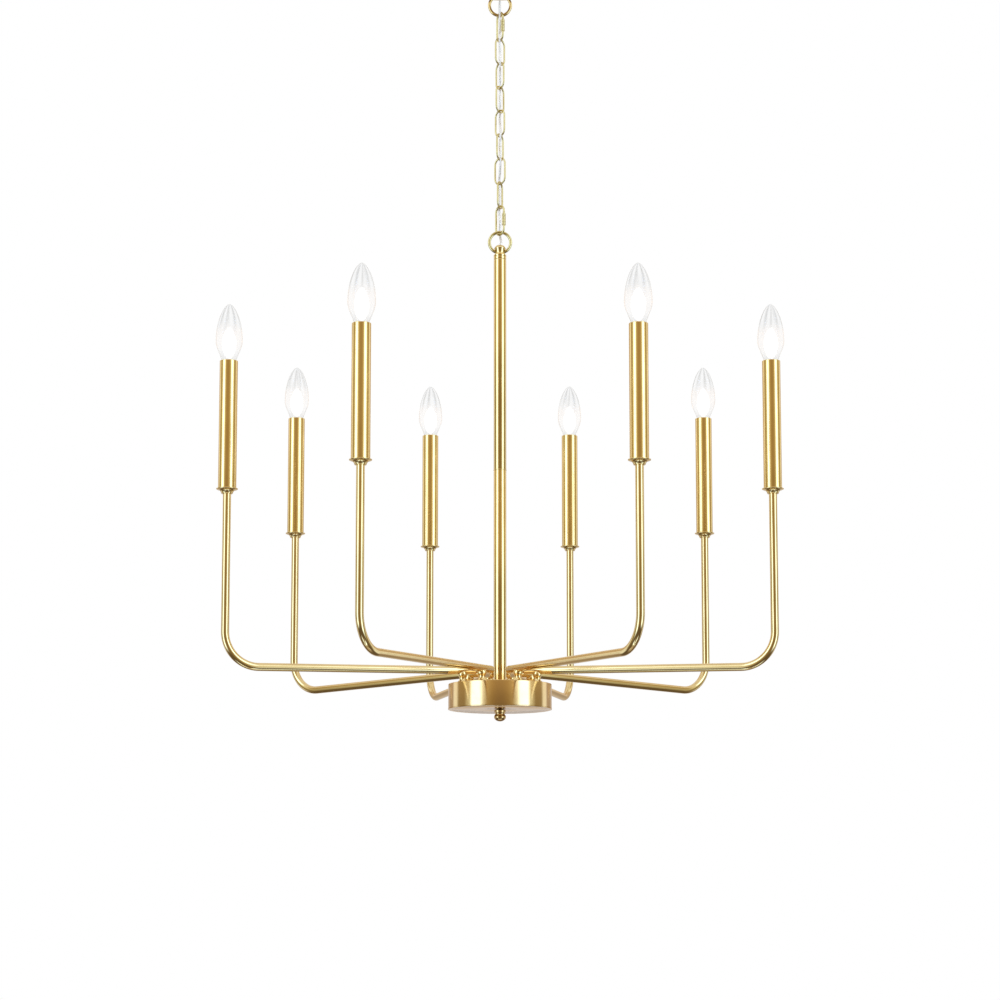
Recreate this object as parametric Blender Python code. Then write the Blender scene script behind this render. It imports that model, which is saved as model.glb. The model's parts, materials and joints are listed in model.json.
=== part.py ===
"""Chandelier with eight candle arms, hung on a chain from a ceiling canopy.

The ceiling's surface is z = 0 and the fixture hangs along -Z, with the stem on the Z axis. Lengths are in metres.
"""

import math

import bmesh
import bpy
from mathutils import Matrix, Vector

MM = 0.001
GAP = 0.3 * MM

# Ceiling parts
CANOPY_RADIUS = 62 * MM
CANOPY_DEPTH = 27 * MM
CANOPY_WALL = 1.2 * MM
CANOPY_CORNER = 14 * MM
BRACKET = (100 * MM, 16 * MM, 2.4 * MM)
BRACKET_SCREW_SPACING = 83 * MM
BRACKET_SCREW_RADIUS = 2.6 * MM
STUD_RADIUS = 5 * MM
BOSS_RADIUS = 9.5 * MM
BOSS_BOTTOM = -33.5 * MM

# Rings and chain
RING_RADIUS = 14.8 * MM
RING_WIRE = 2.1 * MM
TOP_RING_CENTRE = -54.3 * MM
LINK_COUNT = 7
LINK_PITCH = 34.5 * MM
LINK_HALF_WIDTH = 9 * MM
LINK_WIRE = 1.25 * MM
QUICK_PITCH = 38 * MM
QUICK_HALF_WIDTH = 8.4 * MM
QUICK_WIRE = 1.4 * MM
BARREL_RADIUS = 2.7 * MM
BARREL_LENGTH = 17 * MM
LINK_TWIST = 3.5  # degrees by which the chain turns from one link to the next
ODD_LINK_ANGLE = 45.0
EVEN_LINK_ANGLE = -62.0
BOTTOM_QUICK_ANGLE = -50.0

# Supply cord: F and B say whether it passes a contact of the chain in front or behind
CORD_RADIUS = 1.8 * MM
CORD_WEAVE = "FFFBBFFBBB"
CORD_OFFSET = 6.6 * MM
CORD_CLEAR_ANGLE = 33.0
CORD_STEP = 8 * MM

# Stem
BORE_ABOVE_RING_WIRE = 1.2 * MM
CAP_BORE_RADIUS = 3.6 * MM
CAP_SEAT = 6.5 * MM  # from the cap's cross bore down to the stem's top
STEM_RADIUS = 8.6 * MM
STEM_BORE = 7.4 * MM
STEM_LENGTH = 596 * MM
STEM_JOINT = 295 * MM
NIPPLE_RADIUS = 4.8 * MM
NIPPLE_BORE = 3.4 * MM

# Hub
HUB_RADIUS = 70.2 * MM
HUB_HEIGHT = 33 * MM
HUB_WALL = 1.6 * MM
HUB_PLATE = 2 * MM
NIPPLE_HOLE = 5.2 * MM
FINIAL_BOTTOM = -50.5 * MM

# Arms: angles from the front, the same to the left and to the right
ARM_ANGLES = (26.5, 69.0, 128.5, 163.9)
ARM_REACH = 384 * MM
FOOT_RADIUS_ON_HUB = 54 * MM
ARM_TUBE = 5.3 * MM
ARM_BORE = 4.1 * MM
ARM_HEIGHT = 17.2 * MM  # of the tube's centre line over the hub's top, at the foot
ARM_FALL = 1.15  # degrees by which the arm falls towards its elbow
ARM_INNER_END = 22 * MM  # how far the tube runs past its foot towards the stem
ELBOW_RADIUS = 45 * MM
ARM_TOP = 250 * MM
STUD_HOLE = 3.45 * MM

# Candles, heights over the hub's top
CUP_TOP = 245.5 * MM
CUP_RADIUS = 14.3 * MM
SLEEVE_RADIUS = 12 * MM
SLEEVE_BORE = 11.3 * MM
SLEEVE_TOP = 416.3 * MM
SOCKET_TOP = 410 * MM
BULB_SEAT = 386 * MM
BULB_WIDEST = 443 * MM
BULB_RADIUS = 17.7 * MM
BULB_TIP = 493.4 * MM
BULB_WALL = 0.9 * MM
BULB_TAPER = 0.62
BULB_VENT = 1.5 * MM


def wire_offset(wire):
    """From a contact of two links to the centre line of a wire that meets it."""
    return wire + GAP / 2


TOP_CONTACT = TOP_RING_CENTRE - RING_RADIUS + wire_offset(RING_WIRE)
CONTACTS = [TOP_CONTACT, TOP_CONTACT - QUICK_PITCH]
for _ in range(LINK_COUNT):
    CONTACTS.append(CONTACTS[-1] - LINK_PITCH)
CONTACTS.append(CONTACTS[-1] - QUICK_PITCH)
STEM_RING_CENTRE = CONTACTS[-1] + wire_offset(RING_WIRE) - RING_RADIUS
CAP_BORE = STEM_RING_CENTRE - RING_RADIUS + BORE_ABOVE_RING_WIRE
HUB_TOP = CAP_BORE - CAP_SEAT - STEM_LENGTH


def material(name, colour, roughness, metallic=1.0, alpha=1.0):
    made = bpy.data.materials.new(name)
    made.use_nodes = True
    shader = made.node_tree.nodes["Principled BSDF"]
    shader.inputs["Base Color"].default_value = (*colour, 1.0)
    shader.inputs["Roughness"].default_value = roughness
    shader.inputs["Metallic"].default_value = metallic
    shader.inputs["Alpha"].default_value = alpha
    return made


def mesh_of(shape):
    """A mesh from a bmesh, its normals facing out."""
    bmesh.ops.recalc_face_normals(shape, faces=shape.faces)
    mesh = bpy.data.meshes.new("shape")
    shape.to_mesh(mesh)
    shape.free()
    return mesh


def arc(centre_r, centre_z, radius, start, end, steps):
    """Points of an arc in the (r, z) half plane, its angles in degrees from +r towards +z."""
    points = []
    for step in range(steps + 1):
        angle = math.radians(start + (end - start) * step / steps)
        points.append((centre_r + radius * math.cos(angle), centre_z + radius * math.sin(angle)))
    return points


def turned(profile, segments):
    """A solid turned about Z from an outline of (r, z) points, which is closed unless it starts on the axis."""
    shape = bmesh.new()
    points = [shape.verts.new((r, 0, z)) for r, z in profile]
    edges = [shape.edges.new(pair) for pair in zip(points, points[1:])]
    if profile[0][0] > 0:
        edges.append(shape.edges.new((points[-1], points[0])))
    bmesh.ops.spin(
        shape,
        geom=points + edges,
        axis=(0, 0, 1),
        angle=math.tau,
        steps=segments,
        use_merge=True,
    )
    bmesh.ops.remove_doubles(shape, verts=shape.verts, dist=0.001 * MM)
    return mesh_of(shape)


def cylinder(radius, start, end, segments):
    """A round bar between two points."""
    start, end = Vector(start), Vector(end)
    shape = bmesh.new()
    bmesh.ops.create_cone(
        shape,
        cap_ends=True,
        segments=segments,
        radius1=radius,
        radius2=radius,
        depth=(end - start).length,
    )
    turn = Vector((0, 0, 1)).rotation_difference(end - start).to_matrix().to_4x4()
    bmesh.ops.transform(shape, matrix=Matrix.Translation((start + end) / 2) @ turn, verts=shape.verts)
    return mesh_of(shape)


def curve_of(name, points, radius, bevel_resolution, closed=False, tapers=None):
    """A curve with a round section along the points, its ends filled."""
    curve = bpy.data.curves.new(name, "CURVE")
    curve.dimensions = "3D"
    curve.bevel_depth = radius
    curve.bevel_resolution = bevel_resolution
    curve.use_fill_caps = not closed
    spline = curve.splines.new("POLY")
    spline.points.add(len(points) - 1)
    spline.use_cyclic_u = closed
    for index, point in enumerate(points):
        spline.points[index].co = (*point, 1)
        spline.points[index].radius = tapers[index] if tapers else 1.0
    return curve


def pipe(points, radius, bevel_resolution, closed=False, tapers=None):
    """The mesh of a curve_of, its end caps joined to its side."""
    curve = curve_of("route", points, radius, bevel_resolution, closed, tapers)
    holder = bpy.data.objects.new("holder", curve)
    bpy.context.scene.collection.objects.link(holder)
    graph = bpy.context.evaluated_depsgraph_get()
    shape = bmesh.new()
    shape.from_mesh(bpy.data.meshes.new_from_object(holder.evaluated_get(graph)))
    bpy.data.objects.remove(holder)
    bmesh.ops.remove_doubles(shape, verts=shape.verts, dist=0.001 * MM)
    return mesh_of(shape)


def combined(base, added=(), removed=()):
    """One mesh: the base with the added meshes joined on and the removed ones cut away."""
    collection = bpy.context.scene.collection.objects
    body = bpy.data.objects.new("body", base)
    collection.link(body)
    tools = []
    for operation, meshes in (("UNION", added), ("DIFFERENCE", removed)):
        for mesh in meshes:
            tool = bpy.data.objects.new("tool", mesh)
            collection.link(tool)
            tools.append(tool)
            boolean = body.modifiers.new(operation.title(), "BOOLEAN")
            boolean.operation = operation
            boolean.object = tool
    graph = bpy.context.evaluated_depsgraph_get()
    result = bpy.data.meshes.new_from_object(body.evaluated_get(graph))
    for helper in (body, *tools):
        bpy.data.objects.remove(helper)
    return result


def place(name, data, finish, location=(0, 0, 0), parent=None):
    """Adds one piece to the scene, shaded smooth but for its sharp edges."""
    piece = bpy.data.objects.new(name, data)
    bpy.context.scene.collection.objects.link(piece)
    piece.location = location
    piece.parent = parent
    if not data.materials:
        data.materials.append(finish)
    if isinstance(data, bpy.types.Mesh):
        data.shade_smooth()
        data.set_sharp_from_angle(angle=math.radians(35))
    return piece


def empty(name, location, turn=0.0, parent=None):
    axis = bpy.data.objects.new(name, None)
    bpy.context.scene.collection.objects.link(axis)
    axis.location = location
    axis.rotation_euler.z = turn
    axis.parent = parent
    return axis


def ring_mesh(radius, wire, around, sides):
    """A wire ring that stands in the XZ plane, centred on the origin."""
    shape = bmesh.new()
    section = bmesh.ops.create_circle(shape, segments=sides, radius=wire)["verts"]
    bmesh.ops.translate(shape, verts=section, vec=(radius, 0, 0))
    bmesh.ops.rotate(shape, verts=section, cent=(radius, 0, 0), matrix=Matrix.Rotation(math.pi / 2, 3, "X"))
    bmesh.ops.rotate(shape, verts=section, matrix=Matrix.Rotation(-math.pi / 2, 3, "X"))
    bmesh.ops.spin(
        shape,
        geom=list(shape.verts) + list(shape.edges),
        axis=(0, 1, 0),
        angle=math.tau,
        steps=around,
        use_merge=True,
    )
    bmesh.ops.remove_doubles(shape, verts=shape.verts, dist=0.001 * MM)
    return mesh_of(shape)


def oval_points(half_width, height, steps):
    """A stadium in the XZ plane, centred on the origin: its centre line's height over all, and half its width."""
    straight = height / 2 - half_width
    points = []
    for side in (1, -1):
        for step in range(steps + 1):
            angle = math.pi * step / steps
            x = side * half_width * math.cos(angle)
            points.append((x, 0, side * (straight + half_width * math.sin(angle))))
    return points


def link_angle(index):
    """The heading, in degrees, of the plane of chain member 0 (top quick link) to LINK_COUNT + 1 (bottom one)."""
    if index == LINK_COUNT + 1:
        return BOTTOM_QUICK_ANGLE
    start = ODD_LINK_ANGLE if index % 2 else EVEN_LINK_ANGLE
    return start + LINK_TWIST * index


def ceiling_parts(finish, steel):
    corner = CANOPY_RADIUS - CANOPY_CORNER
    corner_z = CANOPY_CORNER - CANOPY_DEPTH
    hole = STUD_RADIUS + 0.5 * MM
    outside = [(CANOPY_RADIUS, 0), *arc(corner, corner_z, CANOPY_CORNER, 0, -90, 4), (hole, -CANOPY_DEPTH)]
    inner_corner = CANOPY_CORNER - CANOPY_WALL
    inside = [
        (hole, CANOPY_WALL - CANOPY_DEPTH),
        *arc(corner, corner_z, inner_corner, -90, 0, 4),
        (CANOPY_RADIUS - CANOPY_WALL, 0),
    ]
    place("canopy", turned(outside + inside, 32), finish)

    length, width, thickness = BRACKET
    plate = bmesh.new()
    bmesh.ops.create_cube(plate, size=1, matrix=Matrix.Diagonal((*BRACKET, 1)))
    upright = [edge for edge in plate.edges if abs(edge.verts[0].co.z - edge.verts[1].co.z) > thickness / 2]
    bmesh.ops.bevel(plate, geom=upright, offset=width / 4, segments=3, profile=0.5, affect="EDGES")
    bmesh.ops.translate(plate, verts=plate.verts, vec=(0, 0, -thickness / 2))
    holes = [cylinder(hole, (0, 0, -thickness * 2), (0, 0, thickness), 16)]
    for side in (-1, 1):
        x = side * BRACKET_SCREW_SPACING / 2
        holes.append(cylinder(BRACKET_SCREW_RADIUS, (x, 0, -thickness * 2), (x, 0, thickness), 12))
    place("ceiling_bracket", combined(mesh_of(plate), removed=holes), steel)

    boss_top = -CANOPY_DEPTH - GAP
    stud = [(0, -GAP), (STUD_RADIUS, -GAP), (STUD_RADIUS, boss_top), (BOSS_RADIUS, boss_top)]
    stud += arc(BOSS_RADIUS - 2 * MM, BOSS_BOTTOM + 2 * MM, 2 * MM, 0, -90, 2)
    neck = TOP_RING_CENTRE + RING_RADIUS
    stud += [(3.2 * MM, BOSS_BOTTOM - 0.5 * MM), (3.2 * MM, neck), (0, neck)]
    ring = ring_mesh(RING_RADIUS, RING_WIRE, 28, 8)
    ring.transform(Matrix.Translation((0, 0, TOP_RING_CENTRE)))
    wire_way = cylinder(3 * MM, (0, 0, BOSS_BOTTOM + 4 * MM), (0, 0, 5 * MM), 12)
    cord_way = cylinder(2.2 * MM, (0, -6.6 * MM, -36 * MM), (0, -0.6 * MM, -27 * MM), 12)
    loop = combined(turned(stud, 20), added=[ring], removed=[wire_way, cord_way])
    place("canopy_loop", loop, finish)


def chain(finish):
    link = pipe(oval_points(LINK_HALF_WIDTH, LINK_PITCH + 2 * wire_offset(LINK_WIRE), 6), LINK_WIRE, 1, True)
    quick_height = QUICK_PITCH + 2 * wire_offset(QUICK_WIRE)
    oval = pipe(oval_points(QUICK_HALF_WIDTH, quick_height, 6), QUICK_WIRE, 1, True)
    ends = [(QUICK_HALF_WIDTH, 0, side * BARREL_LENGTH / 2) for side in (-1, 1)]
    quick = combined(oval, added=[cylinder(BARREL_RADIUS, *ends, 6)])
    names = ["quick_link_top", *[f"chain_link_{n}" for n in range(1, LINK_COUNT + 1)], "quick_link_bottom"]
    uppers = [TOP_RING_CENTRE - RING_RADIUS]
    for index, contact in enumerate(CONTACTS[1:]):
        wire = QUICK_WIRE if index in (0, LINK_COUNT + 1) else LINK_WIRE
        uppers.append(contact - wire_offset(wire))
    for index, name in enumerate(names):
        middle = (CONTACTS[index] + CONTACTS[index + 1]) / 2
        hinge = empty(f"{name}_hinge", (0, 0, uppers[index]), math.radians(link_angle(index)))
        shape = quick if name.startswith("quick") else link
        place(name, shape, finish, (0, 0, middle - uppers[index]), hinge)
    hinge = empty("stem_ring_hinge", (0, 0, uppers[-1]))
    ring = ring_mesh(RING_RADIUS, RING_WIRE, 28, 8)
    place("stem_ring", ring, finish, (0, 0, STEM_RING_CENTRE - uppers[-1]), hinge)


def cord_heading(index):
    """Where the cord passes contact number index, in degrees: in front or behind, and clear of both wires."""
    centre = -90.0 if CORD_WEAVE[index] == "F" else 90.0
    lines = [0.0 if index == 0 else link_angle(index - 1)]
    lines.append(0.0 if index == LINK_COUNT + 2 else link_angle(index))
    around = [line + half * 180 - centre for line in lines for half in (-1, 0, 1)]
    below = centre + max(angle for angle in around if angle <= 0)
    above = centre + min(angle for angle in around if angle > 0)
    if above - below < 2 * CORD_CLEAR_ANGLE:
        return (below + above) / 2
    return min(max(centre, below + CORD_CLEAR_ANGLE), above - CORD_CLEAR_ANGLE)


def cord_route():
    """The places that the cord passes, from inside the canopy loop's boss to inside the stem cap."""
    route = [(0, -3.7 * MM, -31.6 * MM), (0, -5.6 * MM, -35 * MM), (0, -6.8 * MM, -45 * MM)]
    for index, contact in enumerate(CONTACTS):
        heading = math.radians(cord_heading(index))
        route.append((CORD_OFFSET * math.cos(heading), CORD_OFFSET * math.sin(heading), contact))
        if index < len(CONTACTS) - 1:
            same_side = CORD_WEAVE[index] == CORD_WEAVE[index + 1]
            side = -1 if CORD_WEAVE[index] == "F" else 1
            middle = (contact + CONTACTS[index + 1]) / 2
            route.append((0, side * 3.8 * MM if same_side else 0, middle))
    route += [(1.6 * MM, 1.2 * MM, CAP_BORE + 15 * MM), (0, 0, CAP_BORE + 9.5 * MM), (0, 0, CAP_BORE + 4.5 * MM)]
    return [Vector(point) for point in route]


def smooth_through(route, step):
    """Points about a step apart on a smooth curve through the route."""
    ends = [2 * route[0] - route[1], *route, 2 * route[-1] - route[-2]]
    points = []
    for before, start, end, after in zip(ends, ends[1:], ends[2:], ends[3:]):
        count = max(1, round((end - start).length / step))
        for part in range(count):
            t = part / count
            points.append(
                0.5
                * (
                    2 * start
                    + t * (end - before)
                    + t * t * (2 * before - 5 * start + 4 * end - after)
                    + t * t * t * (3 * start - before - 3 * end + after)
                )
            )
    return [*points, route[-1]]


def supply_cord(finish):
    points = smooth_through(cord_route(), CORD_STEP)
    place("supply_cord", curve_of("supply_cord", points, CORD_RADIUS, 2), finish)


def stem(finish):
    joint = empty("stem_hinge", (0, 0, CAP_BORE))
    spigot, bore = 7 * MM, 2.4 * MM
    cap = [
        (bore, -14 * MM),
        (spigot, -14 * MM),
        (spigot, GAP - CAP_SEAT),
        (STEM_RADIUS, GAP - CAP_SEAT),
        (STEM_RADIUS, -4.4 * MM),
        (6.4 * MM, -1.4 * MM),
        (6.4 * MM, 0.6 * MM),
        (7.3 * MM, 3.8 * MM),
        (8.0 * MM, 5.2 * MM),
        *arc(2.6 * MM, 5.0 * MM, 4.6 * MM, 30, 80, 3),
        (bore, 9.6 * MM),
    ]
    cross_bore = cylinder(CAP_BORE_RADIUS, (-12 * MM, 0, 0), (12 * MM, 0, 0), 20)
    place("stem_cap", combined(turned(cap, 20), removed=[cross_bore]), finish, parent=joint)

    top = HUB_TOP + STEM_LENGTH - CAP_BORE
    middle = HUB_TOP + STEM_JOINT - CAP_BORE
    tube = [(STEM_BORE, middle), (STEM_RADIUS, middle), (STEM_RADIUS, top), (STEM_BORE, top)]
    place("stem_upper", turned(tube, 24), finish, parent=joint)

    base = HUB_TOP - CAP_BORE
    shoulder = middle - GAP
    step = 6 * MM
    thread_out, thread_in = 7 * MM, 5.6 * MM
    lower = [
        (NIPPLE_BORE, base - 39.2 * MM),
        (NIPPLE_RADIUS, base - 39.2 * MM),
        (NIPPLE_RADIUS, base + GAP),
        (STEM_RADIUS, base + GAP),
        (STEM_RADIUS, shoulder),
        (thread_out, shoulder),
        (thread_out, shoulder + 12 * MM),
        (thread_in, shoulder + 12 * MM),
        (thread_in, shoulder - step),
        (STEM_BORE, shoulder - step),
        (STEM_BORE, base + step),
        (NIPPLE_BORE, base + step),
    ]
    place("stem_lower", turned(lower, 24), finish, parent=joint)


def arm_headings():
    """The eight arms' headings about the stem in radians, from +X, going round from the front left."""
    left = [math.radians(-90 - angle) for angle in ARM_ANGLES]
    right = [math.radians(-90 + angle) for angle in reversed(ARM_ANGLES)]
    return left + right


def hub(finish, polished):
    joint = bpy.data.objects["stem_hinge"]
    base = HUB_TOP - CAP_BORE
    edge = 0.8 * MM
    inner = HUB_RADIUS - HUB_WALL
    housing = [
        (HUB_RADIUS, base - HUB_HEIGHT),
        *arc(HUB_RADIUS - edge, base - edge, edge, 0, 90, 2),
        (NIPPLE_HOLE, base),
        (NIPPLE_HOLE, base - HUB_PLATE),
        (inner - edge, base - HUB_PLATE),
        (inner, base - HUB_PLATE - edge),
        (inner, base - HUB_HEIGHT),
    ]
    holes = []
    for heading in arm_headings():
        x, y = FOOT_RADIUS_ON_HUB * math.cos(heading), FOOT_RADIUS_ON_HUB * math.sin(heading)
        holes.append(cylinder(STUD_HOLE, (x, y, base - 5 * MM), (x, y, base + 5 * MM), 12))
    place("hub_housing", combined(turned(housing, 40), removed=holes), finish, parent=joint)

    top = base - HUB_HEIGHT - GAP
    bottom = top - 1.3 * MM
    lip = inner - 0.4 * MM
    cover = [
        (NIPPLE_HOLE, bottom),
        (HUB_RADIUS, bottom),
        (HUB_RADIUS + 0.4 * MM, bottom + 0.4 * MM),
        (HUB_RADIUS + 0.4 * MM, top),
        (lip, top),
        (lip, top + 4 * MM),
        (lip - 1.2 * MM, top + 4 * MM),
        (lip - 1.2 * MM, top),
        (NIPPLE_HOLE, top),
    ]
    place("hub_cover", turned(cover, 40), finish, parent=joint)

    top = bottom - GAP
    ball = base + FINIAL_BOTTOM + 6 * MM
    bore = 5.15 * MM
    finial = [(0, base - 39.8 * MM), (bore, base - 39.8 * MM), (bore, top), (7.4 * MM, top)]
    finial += [(6.3 * MM, top - 2 * MM), (6.1 * MM, ball + 5.2 * MM)]
    for step in range(6):
        angle = math.radians(50 - 28 * step)
        finial.append((8 * MM * math.cos(angle), ball + 6 * MM * math.sin(angle)))
    finial.append((0, ball - 6 * MM))
    place("finial", turned(finial, 20), polished, parent=joint)


def arm_line(start):
    """Centre line of the arm's tube from x = start: straight, then round the elbow and up."""
    fall = math.radians(ARM_FALL)
    reach = ARM_REACH - FOOT_RADIUS_ON_HUB
    centre_x = reach - ELBOW_RADIUS
    centre_z = ARM_HEIGHT - centre_x * math.tan(fall) + ELBOW_RADIUS / math.cos(fall)
    points = [(start, 0, ARM_HEIGHT - start * math.tan(fall))]
    steps = 6
    for step in range(steps + 1):
        angle = -fall + (math.pi / 2 + fall) * step / steps
        x = centre_x + ELBOW_RADIUS * math.sin(angle)
        points.append((x, 0, centre_z - ELBOW_RADIUS * math.cos(angle)))
    return points


def arm_mesh():
    """A hollow bent tube with a closed round inner end, one with its spool-shaped foot and the foot's stud."""
    fall = math.tan(math.radians(ARM_FALL))
    reach = ARM_REACH - FOOT_RADIUS_ON_HUB
    rounding = []
    tapers = []
    for degrees in (12, 38, 65):
        angle = math.radians(degrees)
        x = ARM_TUBE * (1 - math.cos(angle)) - ARM_INNER_END
        rounding.append((x, 0, ARM_HEIGHT - x * fall))
        tapers.append(math.sin(angle))
    outer = rounding + arm_line(ARM_TUBE - ARM_INNER_END) + [(reach, 0, ARM_TOP)]
    tapers += [1.0] * (len(outer) - len(tapers))
    bore = arm_line(ARM_TUBE - ARM_INNER_END) + [(reach, 0, ARM_TOP + 5 * MM)]
    stud, waist, flare = 3 * MM, 4.2 * MM, 6 * MM
    foot = [
        (0, -9 * MM),
        (stud, -9 * MM),
        (stud, GAP),
        (flare, GAP),
        (flare, 1.8 * MM),
        (waist, 4.6 * MM),
        (waist, 7.4 * MM),
        (5.2 * MM, 11 * MM),
        (4.9 * MM, ARM_HEIGHT - 1 * MM),
        (0, ARM_HEIGHT - 1 * MM),
    ]
    wire_way = cylinder(1.7 * MM, (0, 0, -12 * MM), (0, 0, ARM_HEIGHT), 8)
    return combined(
        pipe(outer, ARM_TUBE, 2, tapers=tapers),
        added=[turned(foot, 12)],
        removed=[pipe(bore, ARM_BORE, 1), wire_way],
    )


def cup_mesh():
    """A round flange on a neck that narrows to the arm's tube, with the tube's hole through it."""
    hole = ARM_TUBE + 0.45 * MM
    flange_bottom = CUP_TOP - 1.5 * MM
    neck = [
        (hole, CUP_TOP),
        (CUP_RADIUS - 0.5 * MM, CUP_TOP),
        (CUP_RADIUS, CUP_TOP - 0.75 * MM),
        (CUP_RADIUS - 0.5 * MM, flange_bottom),
        (8.4 * MM, flange_bottom - 0.2 * MM),
        (7.4 * MM, flange_bottom - 2.2 * MM),
        (6.5 * MM, flange_bottom - 5.5 * MM),
        (hole, flange_bottom - 5.5 * MM),
    ]
    return turned(neck, 16)


def socket_mesh():
    """A lamp socket on the hollow stem that screws into the arm's end."""
    shell = SOCKET_TOP - 35 * MM
    stem_radius, outside, bore = 3.5 * MM, 9.4 * MM, 6.5 * MM
    floor = BULB_SEAT - 0.8 * MM
    outline = [
        (0, ARM_TOP - 8 * MM),
        (stem_radius, ARM_TOP - 8 * MM),
        (stem_radius, shell - 4 * MM),
        (outside, shell),
        (outside, SOCKET_TOP),
        (bore, SOCKET_TOP),
        (bore, floor),
        (0, floor),
    ]
    return turned(outline, 12)


def bulb_mesh():
    """A pointed candle bulb: a hollow glass envelope on a screw base, open only through its vent."""
    base, neck, neck_z = 6 * MM, 8.6 * MM, SOCKET_TOP + 1 * MM
    envelope = []
    for step in range(6):
        share = step / 5
        swell = share * share * (3 - 2 * share)
        envelope.append((neck + (BULB_RADIUS - neck) * swell, neck_z + (BULB_WIDEST - neck_z) * share))
    for share in (0.25, 0.5, 0.7, 0.87):
        radius = BULB_RADIUS * (1 - share * share) ** BULB_TAPER
        envelope.append((radius, BULB_WIDEST + (BULB_TIP - BULB_WIDEST) * share))
    outside = [(0, BULB_SEAT), (base - 2 * MM, BULB_SEAT), (base, BULB_SEAT + 2 * MM), (base, neck_z - GAP)]
    outside += [*envelope, (0, BULB_TIP)]
    inside = [(0, BULB_SEAT - GAP), (BULB_VENT, BULB_SEAT - GAP), (BULB_VENT, neck_z)]
    inside += [(radius - BULB_WALL, z) for radius, z in envelope[1:]] + [(0, BULB_TIP - 2 * BULB_WALL)]
    return combined(turned(outside, 12), removed=[turned(inside, 12)])


def arms(satin, polished, plastic, glass):
    sleeve = [(r, z) for r in (SLEEVE_BORE, SLEEVE_RADIUS) for z in (CUP_TOP + GAP, SLEEVE_TOP)]
    sleeve[2], sleeve[3] = sleeve[3], sleeve[2]
    shapes = {
        "arm_tube": (arm_mesh(), satin),
        "candle_cup": (cup_mesh(), polished),
        "lamp_socket": (socket_mesh(), plastic),
        "candle_sleeve": (turned(sleeve, 18), satin),
        "bulb": (bulb_mesh(), glass),
    }
    for number, heading in enumerate(arm_headings(), 1):
        x, y = FOOT_RADIUS_ON_HUB * math.cos(heading), FOOT_RADIUS_ON_HUB * math.sin(heading)
        swivel = empty(f"arm_{number}_swivel", (x, y, HUB_TOP), heading)
        for name, (mesh, finish) in shapes.items():
            reach = 0 if name == "arm_tube" else ARM_REACH - FOOT_RADIUS_ON_HUB
            place(f"{name}_{number}", mesh, finish, (reach, 0, 0), swivel)


def main():
    for old in list(bpy.data.objects):
        bpy.data.objects.remove(old)
    satin = material("satin_brass", (0.72, 0.53, 0.27), 0.32)
    polished = material("polished_brass", (0.82, 0.61, 0.28), 0.12)
    steel = material("zinc_plated_steel", (0.62, 0.63, 0.65), 0.4)
    plastic = material("socket_plastic", (0.85, 0.82, 0.74), 0.5, metallic=0.0)
    glass = material("clear_glass", (0.98, 0.97, 0.93), 0.03, metallic=0.0, alpha=0.35)
    clear_pvc = material("clear_cord", (0.90, 0.90, 0.92), 0.25, metallic=0.0)
    ceiling_parts(satin, steel)
    chain(polished)
    supply_cord(clear_pvc)
    stem(satin)
    hub(satin, polished)
    arms(satin, polished, plastic, glass)


main()
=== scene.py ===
"""A brass candle chandelier with eight arms, hung by a chain from a ceiling canopy."""

import json
import math

import bmesh
import bpy
from mathutils import Matrix, Vector


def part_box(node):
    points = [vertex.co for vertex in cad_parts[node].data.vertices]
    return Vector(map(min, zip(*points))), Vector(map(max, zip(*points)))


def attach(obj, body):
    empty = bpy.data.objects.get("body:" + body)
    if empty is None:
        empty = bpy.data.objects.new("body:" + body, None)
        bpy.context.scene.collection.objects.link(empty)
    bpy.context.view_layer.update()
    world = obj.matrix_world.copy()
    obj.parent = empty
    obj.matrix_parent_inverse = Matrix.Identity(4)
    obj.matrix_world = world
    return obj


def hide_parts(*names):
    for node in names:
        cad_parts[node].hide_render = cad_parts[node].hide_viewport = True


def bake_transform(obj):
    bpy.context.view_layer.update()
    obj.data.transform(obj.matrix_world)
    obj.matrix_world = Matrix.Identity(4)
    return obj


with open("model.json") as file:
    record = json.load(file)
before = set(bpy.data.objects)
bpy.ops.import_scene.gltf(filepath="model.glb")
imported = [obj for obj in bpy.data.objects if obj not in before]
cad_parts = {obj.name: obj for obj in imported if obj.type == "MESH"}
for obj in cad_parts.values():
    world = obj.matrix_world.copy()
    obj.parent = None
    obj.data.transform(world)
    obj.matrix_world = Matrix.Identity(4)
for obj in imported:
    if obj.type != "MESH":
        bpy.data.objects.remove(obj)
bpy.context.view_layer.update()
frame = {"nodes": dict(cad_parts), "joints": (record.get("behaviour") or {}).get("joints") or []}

MM = 0.001
GAP = 0.3 * MM  # between pieces that touch
SLIVER = 0.005 * MM  # edges shorter than this are dissolved after a cut
SCENE = bpy.context.scene

# Camera
CAMERA_DISTANCE = 3.2525
CAMERA_HEIGHT = -1.317
CAMERA_PITCH = 7.11
CAMERA_LENS = 86.57
CAMERA_SHIFT = 0.11

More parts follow.
